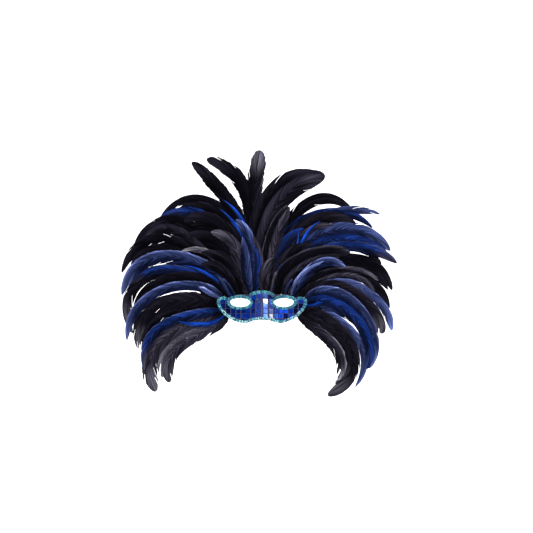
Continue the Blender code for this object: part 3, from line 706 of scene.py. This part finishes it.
def flat_face(bm, hole, inset, rows, count, centre_count):
    """The mask's face laid flat: rows from the eye hole out to the rim and the middle line, mirrored."""
    loop = [rim_point(RIM_LENGTH * k / count, inset) for k in range(count + 1)]
    top, bottom = loop[0][1], loop[-1][1]
    loop += [(0.0, bottom + (top - bottom) * k / centre_count) for k in range(1, centre_count)]
    loop[0] = (0.0, top)
    loop[count] = (0.0, bottom)

    def place(u, v):
        x, z = loop[round(u * len(loop)) % len(loop)]
        turn = math.atan2((z - EYE_CENTRE[1]) / hole[1], (x - EYE_CENTRE[0]) / hole[0])
        eye_x = EYE_CENTRE[0] + hole[0] * math.cos(turn)
        eye_z = EYE_CENTRE[1] + hole[1] * math.sin(turn)
        return Vector((eye_x + (x - eye_x) * v, 0.0, eye_z + (z - eye_z) * v))

    mapped_grid(bm, len(loop), rows, place)
    bmesh.ops.remove_doubles(bm, verts=bm.verts, dist=0.001)
    bmesh.ops.mirror(bm, geom=bm.verts[:] + bm.edges[:] + bm.faces[:], axis="X", merge_dist=0.01)
    bmesh.ops.recalc_face_normals(bm, faces=bm.faces)


def give_wall(bm, low, high):
    """Turns a flat sheet into a wall between two heights, and returns the points of its top."""
    grown = bmesh.ops.extrude_face_region(bm, geom=bm.faces[:], use_keep_orig=True)
    top = {item for item in grown["geom"] if isinstance(item, bmesh.types.BMVert)}
    for vert in bm.verts:
        vert.co.y = high if vert in top else low
    bmesh.ops.recalc_face_normals(bm, faces=bm.faces)
    return top


def round_off(bm, edges, offset):
    bmesh.ops.bevel(bm, geom=edges, offset=offset, offset_type="OFFSET", segments=2, profile=0.5,
                    affect="EDGES", material=-1, clamp_overlap=True)


def thicken(bm, low, high, round_edge):
    """Gives a flat face its wall between two heights, rounds the wall's edges and bends it onto the mask."""
    give_wall(bm, low, high)
    corners = [edge for edge in bm.edges if len(edge.link_faces) == 2 and edge.calc_face_angle() > 1.0]
    round_off(bm, corners, round_edge)
    for vert in bm.verts:
        vert.co = face_point(vert.co.x, vert.co.z, vert.co.y)
    bmesh.ops.recalc_face_normals(bm, faces=bm.faces)


def add_shell():
    bm = bmesh.new()
    flat_face(bm, EYE_HOLE, 0.0, rows=10, count=120, centre_count=30)
    thicken(bm, 0.0, SHELL_WALL, round_edge=0.5)
    finish_piece("mask_shell_felt", bm, [once(felt_material)], ["mask_shell"])


def tile_tone(rng, x, z):
    """A tile's colour: royal, darker or lighter, with a painted highlight in a bright band down the nose and
    lilac beside it.
    """
    tone = mixed(TILE_DEEP, TILE_ROYAL, rng.random())
    if rng.random() < DARK_SHARE:
        tone = TILE_DARK
    if rng.random() < LIGHT_SHARE:
        tone = TILE_LIGHT
    shine = math.exp(-((x - SHINE_PLACE) / SHINE_SIZE) ** 2)
    lilac_x = (x - LILAC_PLACE[0]) / LILAC_SIZE[0]
    lilac_z = (z - LILAC_PLACE[1]) / LILAC_SIZE[1]
    lilac = math.exp(-lilac_x ** 2 - lilac_z ** 2)
    return mixed(mixed(tone, NOSE_SHINE, 0.7 * shine), NOSE_LILAC, 0.6 * lilac)


def tile_cuts(x, z):
    """Where the trims cut a tile: at the rim and at the eye ring, each a point and a direction out."""
    side = math.copysign(1.0, x)
    stops = [side * RIM_LENGTH * k / RIM_STEPS for k in range(RIM_STEPS + 1)]
    nearest = min(stops, key=lambda stop: math.dist(rim_point(stop, 0.0), (x, z)))
    inward = Vector(rim_point(nearest, MOSAIC_INSET))
    away = (Vector(rim_point(nearest, 0.0)) - inward).normalized()
    turn = math.atan2((z - EYE_CENTRE[1]) / EYE_RING[1], (abs(x) - EYE_CENTRE[0]) / EYE_RING[0])
    ring = Vector((side * (EYE_CENTRE[0] + (EYE_RING[0] + TILE_EYE_GAP) * math.cos(turn)),
                   EYE_CENTRE[1] + (EYE_RING[1] + TILE_EYE_GAP) * math.sin(turn)))
    towards_eye = Vector((-side * math.cos(turn) / EYE_RING[0], -math.sin(turn) / EYE_RING[1])).normalized()
    return (inward, away), (ring, towards_eye)


def add_tile(bm, tone_layer, x, z, size, rng):
    """One tile: a square cut along the trims, given its thickness and a bevel, then laid flat on the face."""
    plate = bmesh.new()
    bmesh.ops.create_grid(plate, x_segments=1, y_segments=1, size=size / 2)
    bmesh.ops.rotate(plate, verts=plate.verts, matrix=Matrix.Rotation(math.radians(90), 3, "X"))
    turned = Matrix.Rotation(rng.uniform(-TILE_TURN, TILE_TURN), 3, "Y")
    bmesh.ops.rotate(plate, verts=plate.verts, matrix=turned)
    bmesh.ops.translate(plate, verts=plate.verts, vec=(x, 0.0, z))
    for point, outside in tile_cuts(x, z):
        geom = plate.verts[:] + plate.edges[:] + plate.faces[:]
        bmesh.ops.bisect_plane(plate, geom=geom, plane_co=(point.x, 0.0, point.y),
                               plane_no=(outside.x, 0.0, outside.y), clear_outer=True)
    if not plate.faces or sum(face.calc_area() for face in plate.faces) < LEAST_TILE_AREA:
        plate.free()
        return
    top = give_wall(plate, 0.0, TILE_THICKNESS)
    rim = [edge for edge in plate.edges if all(vert in top for vert in edge.verts)]
    round_off(plate, rim, TILE_ROUND_EDGE)
    out = face_normal(x, z)
    across = -Vector((1.0, 0.0, 0.0)).cross(out).cross(out).normalized()
    up = out.cross(across).normalized()
    lean_x, lean_z = rng.uniform(-TILE_LEAN, TILE_LEAN), rng.uniform(-TILE_LEAN, TILE_LEAN)
    tone = tile_tone(rng, x, z)
    origin = face_point(x, z, MOSAIC_LEVEL + TILE_FOOT)
    # Painted reflection: near a glint, the tile is lightened towards white beyond a diagonal
    glint = max(math.exp(-math.hypot(x - at_x, z - at_z) ** 2 / GLINT_AREA) for at_x, at_z in GLINTS)
    copies = {}
    for vert in plate.verts:
        dx, dz = vert.co.x - x, vert.co.z - z
        height = vert.co.y + dx * lean_x + dz * lean_z
        copies[vert] = bm.verts.new(origin + (across * dx + up * dz + out * height) * MM)
        white = 0.0 if dx + dz < -0.5 else min(1.0, 1.4 * glint)
        copies[vert][tone_layer] = (*mixed(tone, GLINT_TONE, white), 1.0)
    for face in plate.faces:
        made = bm.faces.new([copies[vert] for vert in face.verts])
        made.material_index = 1
    plate.free()


def add_mosaic(settings):
    bm = bmesh.new()
    tone_layer = bm.verts.layers.float_color.new("tone")
    hole = (EYE_RING[0] + BACKING_EYE_GAP, EYE_RING[1] + BACKING_EYE_GAP)
    flat_face(bm, hole, MOSAIC_INSET - BACKING_OVERLAP, rows=8, count=110, centre_count=26)
    thicken(bm, MOSAIC_LEVEL + BACKING_HEIGHTS[0], MOSAIC_LEVEL + BACKING_HEIGHTS[1], round_edge=0.15)
    rng = random.Random(11)
    pitch = settings.tile_pitch / MM
    for column in TILE_COLUMNS:
        for row in TILE_ROWS:
            x = pitch * (column + 0.5)
            z = pitch * (row + 0.5) - TILE_ROW_OFFSET
            add_tile(bm, tone_layer, x, z, settings.tile_size / MM, rng)
    bmesh.ops.recalc_face_normals(bm, faces=bm.faces)
    finish_piece("mosaic_tiles", bm, [once(backing_material), once(tile_material)], ["mosaic"], smooth=False)


def walk(path, closed, pitch):
    """Points and directions at equal steps along a path."""
    points = [Vector(p) for p in path]
    if closed:
        points.append(points[0])
    lengths = [0.0]
    for near, far in zip(points, points[1:]):
        lengths.append(lengths[-1] + (far - near).length)
    count = round(lengths[-1] / pitch)
    stops = []
    index = 1
    for k in range(count if closed else count + 1):
        length = lengths[-1] * k / count
        while lengths[index] < length and index < len(lengths) - 1:
            index += 1
        near, far = points[index - 1], points[index]
        t = (length - lengths[index - 1]) / (lengths[index] - lengths[index - 1])
        stops.append((near.lerp(far, t), (far - near).normalized()))
    return stops


def add_bead(bm, tone_layer, point, scale, tone):
    """One seed bead that lies on the mask at a point and its height."""
    x, z, height = point
    turn = face_normal(x, z).to_track_quat("Z", "Y").to_matrix().to_4x4()
    size = Matrix.Diagonal((scale, scale, scale, 1.0))
    place = Matrix.Translation(face_point(x, z, height)) @ turn @ size
    made = bmesh.ops.create_uvsphere(bm, u_segments=8, v_segments=6, radius=1.0, matrix=place)
    for vert in made["verts"]:
        vert[tone_layer] = (*tone, 1.0)


def add_trim(name, node, path, closed, settings, seed):
    """One run of trim: ribs of three seed beads over a narrow tape."""
    bm = bmesh.new()
    tone_layer = bm.verts.layers.float_color.new("tone")
    rng = random.Random(seed)
    stops = walk(path, closed, settings.bead_pitch / MM)
    steps = len(stops) if closed else len(stops) - 1

    def tape(u, v):
        point, along = stops[round(u * steps) % len(stops)]
        turn = 2 * math.pi * v
        across = TAPE_HALF_WIDTH * math.cos(turn)
        height = TRIM_LEVEL + TAPE_LIFT + TAPE_HALF_THICKNESS * math.sin(turn)
        return face_point(point.x - along.y * across, point.y + along.x * across, height)

    verts = mapped_grid(bm, steps, 8, tape)
    bmesh.ops.remove_doubles(bm, verts=verts, dist=1e-6)
    bmesh.ops.holes_fill(bm, edges=[edge for edge in bm.edges if edge.is_boundary], sides=0)
    for vert in bm.verts:
        vert[tone_layer] = (*TAPE_TONE, 1.0)
    size = settings.bead_size / MM / 2
    for point, along in stops:
        rib = rng.random()
        for side in (-1, 0, 1):
            across = side * BEADS_APART
            x, z = point.x - along.y * across, point.y + along.x * across
            lift = TRIM_LEVEL + BEAD_LIFT + (MIDDLE_BEAD_LIFT if side == 0 else 0.0)
            scale = size * rng.uniform(0.9, 1.1) * MM
            share = min(max(rib + rng.uniform(-0.25, 0.25), 0.0), 1.0)
            tone = mixed(BEAD_DEEP, BEAD_AQUA, share ** 1.5)
            if z < WHITE_BEADS_BELOW and rng.random() < WHITE_SHARE:
                tone = BEAD_WHITE
            add_bead(bm, tone_layer, (x, z, lift), scale, tone)
    bmesh.ops.recalc_face_normals(bm, faces=bm.faces)
    finish_piece(name, bm, [once(bead_material)], [node])


def add_trims(settings):
    ring = ellipse(EYE_CENTRE, EYE_RING, 96)
    add_trim("eye_beads_right", "eye_trim_right", ring, True, settings, seed=3)
    add_trim("eye_beads_left", "eye_trim_left", [(-x, z) for x, z in ring], True, settings, seed=5)
    step = (RIM_LENGTH - RIM_START) / RIM_STEPS
    lower = [rim_point(RIM_START + step * k, TRIM_INSET) for k in range(RIM_STEPS + 1)]
    path = lower + [(-x, z) for x, z in reversed(lower[:-1])]
    add_trim("rim_beads", "rim_trim", path, False, settings, seed=7)
    brow = [rim_point(BROW_END * (k / 40 * 2 - 1), TRIM_INSET) for k in range(41)]
    add_trim("brow_beads", "brow_trim", brow, False, settings, seed=9)


def vane_width(share, length, blunt):
    """The vane's width along the plume: a downy foot, then a taper to a pointed or a blunt tip."""
    opening = smoothstep(share * length, 0.0, VANE_FOOT)
    start = 0.4 + 0.5 * blunt
    beyond = max(share - start, 0.0) / (1.0 - start)
    return (0.5 + 0.5 * opening) * max(1 - beyond ** 2, 0.0) ** (0.9 - 0.45 * blunt)


# A lock of barbs that cling together: its rows, how it is drawn together, reaches, lifts and shines, and
# how far out it parts from the next lock, as a share of the vane's half width.
Lock = namedtuple("Lock", "first last pinch reach lift shade gap")


def cut_locks(rows, fray, rng):
    """Splits one side of a vane into locks, and gives each row its lock."""
    locks = []
    first = 0
    while first < rows + 1:
        last = min(first + rng.choice(LOCK_SIZES), rows)
        split = rng.random() < SPLIT_CHANCE * fray
        notch = rng.random() < NOTCH_CHANCE * fray
        pinch = fray * (rng.uniform(0.20, 0.40) if split else rng.uniform(0.01, 0.08))
        gap = rng.uniform(0.3, 0.6) if split else (0.75 if notch else 1.0)
        locks.append(Lock(first, last, pinch, 1 + fray * rng.uniform(-0.05, 0.03), rng.uniform(-0.3, 0.3),
                          rng.uniform(0.5, 1.8), gap))
        first = last + 1
    by_row = []
    for lock in locks:
        by_row += [lock] * (lock.last - lock.first + 1)
    return by_row


def add_vane(bm, layers, bunch, place, settings):
    """One plume's vane: a grid whose rows follow the barbs, parted into locks along both edges."""
    plume = bunch.plumes[place]
    look = LOOKS[plume.look]
    rng = random.Random(f"{bunch.name}/{place}")
    at, length = plume_spine(plume)
    rows = max(round(length / (settings.barb_pitch / MM)), 16)
    fray = look.fray * settings.fray
    sides = {-1: cut_locks(rows, fray, rng), 1: cut_locks(rows, fray, rng)}
    sweep = plume.width * BARB_SWEEP
    last_root = 1 - LAST_ROOT * sweep / length
    roll = rng.uniform(-VANE_ROLL, VANE_ROLL)
    cup = rng.uniform(*VANE_CUP)
    offset = rng.uniform(0.0, 500.0)
    outer = -1 if plume.tip_x > 0 else 1
    jitter = [rng.uniform(0.7, 1.3) for _ in range(rows + 1)]
    reach_jitter = {side: [rng.uniform(-1.0, 1.0) for _ in range(rows + 1)] for side in (-1, 1)}
    made = bmesh.ops.create_grid(bm, x_segments=rows, y_segments=VANE_COLUMNS, size=0.5)
    facts = {}
    for vert in made["verts"]:
        row = round((vert.co.x + 0.5) * rows)
        t = vert.co.y * 2
        side = -1 if t < 0 else 1
        f = abs(t)
        lock = sides[side][row]
        middle = (lock.first + lock.last) / 2
        drawn = row + (middle - row) * lock.pinch * f * f
        root = last_root * drawn / rows
        full = min(root + sweep / length * (0.35 + 0.65 * smoothstep(root, 0.0, 0.3)), 1.0)
        share = root + (full - root) * f ** BARB_CURVE
        half = plume.width / 2 * vane_width(full, length, plume.blunt)
        ragged = 1 + 0.02 * fray ** 3 * reach_jitter[side][row] * f
        lateral = side * f * half * (1 + (lock.reach - 1) * f) * ragged
        spot = at(share)
        along = spine_way(at, share)
        spot = spot + Vector((along.y, -along.x)) * lateral
        depth = fan_depth(spot.x, spot.y, bunch, place)
        depth += cup * half * (f * f - 0.3) + roll * lateral + lock.lift * f * f * min(half / 4, 1.0)
        vert.co = Vector((spot.x, depth, spot.y)) * MM
        near_tip = smoothstep(share, TIP_START, 1.0)
        shade = (1 + (lock.shade - 1) * smoothstep(f, 0.0, 0.5)) * jitter[row]
        # Painted shadow: a dark line along the first row of each lock, where it parts from the lock before
        if row == lock.first:
            shade *= 1 - 0.5 * smoothstep(f, 0.0, 0.4)
        shade *= 0.35 + 0.65 * smoothstep(share * length, *ROOT_SHADOW)
        colours = (mixed(look.body, look.tip, near_tip * 0.8), mixed(look.gloss, look.tip, near_tip),
                   look.rim)
        for name, colour in zip(VANE_TONES, colours):
            vert[layers[name]] = (*(c * shade for c in colour), 1.0)
        # The profile runs from -1 at the inner edge to 1 at the outer edge, the side where light and rim
        # highlight are painted
        vert[layers["profile"]] = t * outer
        facts[vert] = (row, f, side, offset + root * length)
    faces = {face for vert in made["verts"] for face in vert.link_faces}
    parted = []
    for face in faces:
        rows_met = {facts[vert][0] for vert in face.verts}
        side = 1 if sum(facts[vert][1] * facts[vert][2] for vert in face.verts) > 0 else -1
        low = sides[side][min(rows_met)]
        if low is not sides[side][max(rows_met)] and min(facts[vert][1] for vert in face.verts) >= low.gap:
            parted.append(face)
            continue
        for loop in face.loops:
            row, f, vert_side, mm = facts[loop.vert]
            loop[layers["barbs"]].uv = (mm, offset + side * (HALF_APART + f * plume.width / 2))
    bmesh.ops.delete(bm, geom=parted, context="FACES")
    kept = [face for face in faces if face.is_valid]
    grown = bmesh.ops.extrude_face_region(bm, geom=kept, use_keep_orig=True)
    front = [item for item in grown["geom"] if isinstance(item, bmesh.types.BMVert)]
    bmesh.ops.translate(bm, verts=front, vec=(0.0, -settings.vane_thickness, 0.0))


def add_tube(bm, rows, spot):
    """A closed four-sided tube whose points lie where spot(u, v) says, and its faces."""
    verts = mapped_grid(bm, rows, 4, spot)
    faces = {face for vert in verts for face in vert.link_faces}
    bmesh.ops.remove_doubles(bm, verts=verts, dist=1e-6)
    faces = [face for face in faces if face.is_valid]
    ends = {edge for face in faces for edge in face.edges if edge.is_boundary}
    return faces + bmesh.ops.holes_fill(bm, edges=list(ends), sides=0)["faces"]


def add_shaft(bm, layers, bunch, place):
    """One plume's shaft: a tapering ridge down the front of its vane."""
    plume = bunch.plumes[place]
    look = LOOKS[plume.look]
    at, length = plume_spine(plume)

    def spot(u, v):
        share = u * SHAFT_END
        along = spine_way(at, share)
        half = SHAFT_TAPER * (1 - u) + SHAFT_TIP
        turn = 2 * math.pi * v
        point = at(share) + Vector((along.y, -along.x)) * half * math.cos(turn)
        depth = fan_depth(point.x, point.y, bunch, place) - SHAFT_LIFT
        depth -= half * math.sin(turn) * SHAFT_FLATNESS
        return Vector((point.x, depth, point.y)) * MM

    tone = (*mixed(look.body, look.gloss, 0.5), 1.0)
    for face in add_tube(bm, max(round(length / SHAFT_ROW), 6), spot):
        for vert in face.verts:
            for name in VANE_TONES:
                vert[layers[name]] = tone


def add_tape(bm, layers, bunch):
    """The tape that binds a bunch's quills, along the rim behind the mask."""
    spots = sorted(plume.rim for plume in bunch.plumes)
    first, last = spots[0] - STRIP_END, spots[-1] + STRIP_END
    corners = ((-1, -1), (-1, 1), (1, 1), (1, -1))

    def spot(u, v):
        inset, side = corners[round(v * 4) % 4]
        x, z = rim_point(first + (last - first) * u, ROOT_INSET + inset * STRIP_HALF_HEIGHT)
        depth = inner_depth(x, z) + GAP + STRIP_HALF_THICKNESS + bunch.strip * STRIP_STEP
        return Vector((x, depth + side * STRIP_HALF_THICKNESS, z)) * MM

    for face in add_tube(bm, max(round((last - first) / STRIP_ROW), 3), spot):
        face.material_index = 1


def vane_layers(bm):
    """The attributes that the plumes' material reads, by name."""
    for name in VANE_TONES:
        bm.verts.layers.float_color.new(name)
    bm.verts.layers.float.new("profile")
    bm.loops.layers.uv.new("barbs")
    layers = {name: bm.verts.layers.float_color[name] for name in VANE_TONES}
    layers["profile"] = bm.verts.layers.float["profile"]
    layers["barbs"] = bm.loops.layers.uv["barbs"]
    return layers


def add_bunch(bunch, settings):
    bm = bmesh.new()
    layers = vane_layers(bm)
    for place in range(len(bunch.plumes)):
        add_vane(bm, layers, bunch, place, settings)
        add_shaft(bm, layers, bunch, place)
    add_tape(bm, layers, bunch)
    bmesh.ops.recalc_face_normals(bm, faces=bm.faces)
    finish_piece(f"{bunch.name}_barbs", bm, [once(plume_material), once(tape_material)], [bunch.name])


def down_bunch():
    """Short dark tufts along the rim, behind the plumes, where the light would show between the quills."""
    rng = random.Random(17)
    tufts = []
    for k in range(DOWN_COUNT):
        along = DOWN_ENDS[0] + (DOWN_ENDS[1] - DOWN_ENDS[0]) * k / (DOWN_COUNT - 1)
        foot = Vector(rim_point(along, ROOT_INSET))
        way = (Vector(rim_point(along, 0.0)) - foot).normalized() * rng.uniform(*DOWN_LENGTH)
        bend = Vector((-way.y, way.x)) * rng.uniform(-DOWN_BEND, DOWN_BEND)
        low, high, tip = foot + way / 3, foot + way * 2 / 3 + bend / 3, foot + way + bend
        look = rng.choice(("black", "soot", "charcoal"))
        tufts.append(Plume(along, low.x, low.y, high.x, high.y, tip.x, tip.y, DOWN_WIDTH, look, 0.5))
    return Bunch("root_down", "crown", 2, 2, tuple(tufts))


def add_down(settings):
    bunch = down_bunch()
    bm = bmesh.new()
    layers = vane_layers(bm)
    for place in range(len(bunch.plumes)):
        add_vane(bm, layers, bunch, place, settings)
    bmesh.ops.recalc_face_normals(bm, faces=bm.faces)
    finish_piece(bunch.name, bm, [once(plume_material)], [])


class MaskSettings(bpy.types.PropertyGroup):
    """Sizes of the mask's tiles, beads and barbs."""

    tile_pitch: bpy.props.FloatProperty(name="Tile pitch", description="From one tile to the next",
                                        default=0.008, min=0.004, unit="LENGTH")
    tile_size: bpy.props.FloatProperty(name="Tile size", description="Side of one square tile",
                                       default=0.0073, min=0.002, unit="LENGTH")
    bead_pitch: bpy.props.FloatProperty(name="Bead pitch", description="From one rib of beads to the next",
                                        default=0.0022, min=0.001, unit="LENGTH")
    bead_size: bpy.props.FloatProperty(name="Bead size", description="Diameter of one seed bead",
                                       default=0.0021, min=0.0005, unit="LENGTH")
    barb_pitch: bpy.props.FloatProperty(name="Barb pitch", description="From one row of barbs to the next",
                                        default=0.0013, min=0.0005, unit="LENGTH")
    vane_thickness: bpy.props.FloatProperty(name="Vane thickness", description="Thickness of a plume's vane",
                                            default=0.0002, min=0.00005, unit="LENGTH")
    fray: bpy.props.FloatProperty(name="Fray", description="How far the barbs part along a plume's edges",
                                  default=1.0, min=0.0, max=2.0, subtype="FACTOR")


class StudioSettings(bpy.types.PropertyGroup):
    """The camera and the lights."""

    view_width: bpy.props.FloatProperty(name="View width", description="Width of the view at the fan's depth",
                                        default=0.8528, min=0.1, unit="LENGTH")
    camera_distance: bpy.props.FloatProperty(name="Camera distance", description="From camera to mask",
                                             default=4.0, min=1.0, unit="LENGTH")
    key_power: bpy.props.FloatProperty(name="Key light", description="Power of the main soft light",
                                       default=32.0, min=0.0, unit="POWER")
    fill_power: bpy.props.FloatProperty(name="Fill light", description="Power of the other soft light",
                                        default=14.0, min=0.0, unit="POWER")
    sky: bpy.props.FloatProperty(name="Sky", description="Strength of the even white light all round",
                                 default=0.9, min=0.0)


class MASK_OT_shell(bpy.types.Operator):
    """Adds the stiff half mask"""

    bl_idname = "carnival_mask.shell"
    bl_label = "Shell"

    def execute(self, context):
        add_shell()
        return {"FINISHED"}


class MASK_OT_mosaic(bpy.types.Operator):
    """Adds the foil tiles and the sheet under them"""

    bl_idname = "carnival_mask.mosaic"
    bl_label = "Mosaic"

    def execute(self, context):
        add_mosaic(context.scene.mask_settings)
        return {"FINISHED"}


class MASK_OT_trims(bpy.types.Operator):
    """Adds the beaded trims along the brow, the rim and the eye holes"""

    bl_idname = "carnival_mask.trims"
    bl_label = "Beaded trims"

    def execute(self, context):
        add_trims(context.scene.mask_settings)
        return {"FINISHED"}


class MASK_OT_down(bpy.types.Operator):
    """Adds the short down round the quills, behind the rim"""

    bl_idname = "carnival_mask.down"
    bl_label = "Down"

    def execute(self, context):
        add_down(context.scene.mask_settings)
        return {"FINISHED"}


class MASK_OT_plumes(bpy.types.Operator):
    """Adds the bunches of plumes on one side of the fan"""

    bl_idname = "carnival_mask.plumes"
    bl_label = "Plumes"

    side: bpy.props.EnumProperty(name="Side", description="The side of the fan",
                                 items=[("crown", "Crown", "Over the brow"),
                                        ("left", "Left", "Left from the front"),
                                        ("right", "Right", "Right from the front")])

    def execute(self, context):
        for bunch in BUNCHES:
            if bunch.side == self.side:
                add_bunch(bunch, context.scene.mask_settings)
        return {"FINISHED"}


def add_area_light(name, place, aim, size, power, colour):
    light = bpy.data.lights.new(name, "AREA")
    light.shape = "SQUARE"
    light.size = size
    light.energy = power
    light.color = colour
    lamp = bpy.data.objects.new(name, light)
    lamp.location = place
    lamp.rotation_euler = (Vector(aim) - Vector(place)).to_track_quat("-Z", "Y").to_euler()
    bpy.context.scene.collection.objects.link(lamp)


def add_studio(settings):
    """White paper that sweeps up behind the mask, soft lights and a camera with a long lens."""
    scene = bpy.context.scene
    bm = bmesh.new()
    floor = bmesh.ops.create_grid(bm, x_segments=1, y_segments=1, size=PAPER_HALF_WIDTH)
    bmesh.ops.translate(bm, verts=floor["verts"], vec=PAPER_PLACE)
    back = [edge for edge in bm.edges if all(vert.co.y > 0 for vert in edge.verts)]
    bmesh.ops.spin(bm, geom=back, cent=PAPER_BEND, axis=(1.0, 0.0, 0.0), dvec=(0.0, 0.0, 0.0),
                   angle=math.radians(90), steps=16, use_merge=False)
    top = [edge for edge in bm.edges
           if edge.is_boundary and all(vert.co.y > PAPER_WALL for vert in edge.verts)]
    grown = bmesh.ops.extrude_edge_only(bm, edges=top)
    wall = [item for item in grown["geom"] if isinstance(item, bmesh.types.BMVert)]
    bmesh.ops.translate(bm, verts=wall, vec=(0.0, 0.0, PAPER_HEIGHT))
    mesh = bpy.data.meshes.new("studio_sweep")
    bm.to_mesh(mesh)
    bm.free()
    mesh.shade_smooth()
    mesh.materials.append(once(studio_material))
    sweep = bpy.data.objects.new("studio_sweep", mesh)
    scene.collection.objects.link(sweep)

    world = bpy.data.worlds.new("studio_sky")
    world.use_nodes = True
    background = world.node_tree.nodes["Background"]
    background.inputs["Color"].default_value = (1.0, 1.0, 1.0, 1.0)
    background.inputs["Strength"].default_value = settings.sky
    scene.world = world

    add_area_light("key_softbox", (-1.1, -1.9, 1.7), FAN_PLACE, SOFTBOX_SIZE, settings.key_power,
                   (1.0, 0.99, 0.97))
    add_area_light("fill_softbox", (1.6, -1.6, 0.5), FAN_PLACE, SOFTBOX_SIZE, settings.fill_power,
                   (0.96, 0.98, 1.0))
    add_area_light("paper_light", (0.0, 3.0, 2.4), (0.0, 5.0, 0.2), 2.0, PAPER_POWER, (1.0, 1.0, 1.0))

    camera = bpy.data.cameras.new("camera")
    camera.sensor_width = 36.0
    camera.lens = camera.sensor_width * (settings.camera_distance + FAN_PLACE[1]) / settings.view_width
    camera.clip_end = 30.0
    holder = bpy.data.objects.new("camera", camera)
    holder.location = (VIEW_CENTRE[0], -settings.camera_distance, VIEW_CENTRE[1])
    holder.rotation_euler = (math.radians(90), 0.0, 0.0)
    scene.collection.objects.link(holder)
    scene.camera = holder
    scene.view_settings.view_transform = "Standard"


class MASK_OT_studio(bpy.types.Operator):
    """Adds the white paper, the lights and the camera"""

    bl_idname = "carnival_mask.studio"
    bl_label = "Studio"

    def execute(self, context):
        add_studio(context.scene.studio_settings)
        return {"FINISHED"}


class MASK_PT_panel(bpy.types.Panel):
    """The mask's pieces, in the 3D view's sidebar"""

    bl_idname = "MASK_PT_panel"
    bl_label = "Carnival mask"
    bl_space_type = "VIEW_3D"
    bl_region_type = "UI"
    bl_category = "Carnival mask"

    def draw(self, context):
        layout = self.layout
        for name in ("tile_pitch", "tile_size", "bead_pitch", "bead_size", "barb_pitch", "vane_thickness",
                     "fray"):
            layout.prop(context.scene.mask_settings, name)
        layout.operator(MASK_OT_shell.bl_idname)
        layout.operator(MASK_OT_mosaic.bl_idname)
        layout.operator(MASK_OT_trims.bl_idname)
        layout.operator(MASK_OT_down.bl_idname)
        layout.operator_menu_enum(MASK_OT_plumes.bl_idname, "side")
        for name in ("view_width", "camera_distance", "key_power", "fill_power", "sky"):
            layout.prop(context.scene.studio_settings, name)
        layout.operator(MASK_OT_studio.bl_idname)


CLASSES = (MaskSettings, StudioSettings, MASK_OT_shell, MASK_OT_mosaic, MASK_OT_trims, MASK_OT_down,
           MASK_OT_plumes, MASK_OT_studio, MASK_PT_panel)


def register():
    for item in CLASSES:
        bpy.utils.register_class(item)
    bpy.types.Scene.mask_settings = bpy.props.PointerProperty(type=MaskSettings)
    bpy.types.Scene.studio_settings = bpy.props.PointerProperty(type=StudioSettings)


def unregister():
    del bpy.types.Scene.studio_settings
    del bpy.types.Scene.mask_settings
    for item in reversed(CLASSES):
        bpy.utils.unregister_class(item)


def main():
    register()
    bpy.ops.carnival_mask.studio()
    bpy.ops.carnival_mask.shell()
    bpy.ops.carnival_mask.mosaic()
    bpy.ops.carnival_mask.trims()
    bpy.ops.carnival_mask.down()
    for side in ("crown", "left", "right"):
        bpy.ops.carnival_mask.plumes(side=side)


if __name__ == "__main__":
    main()
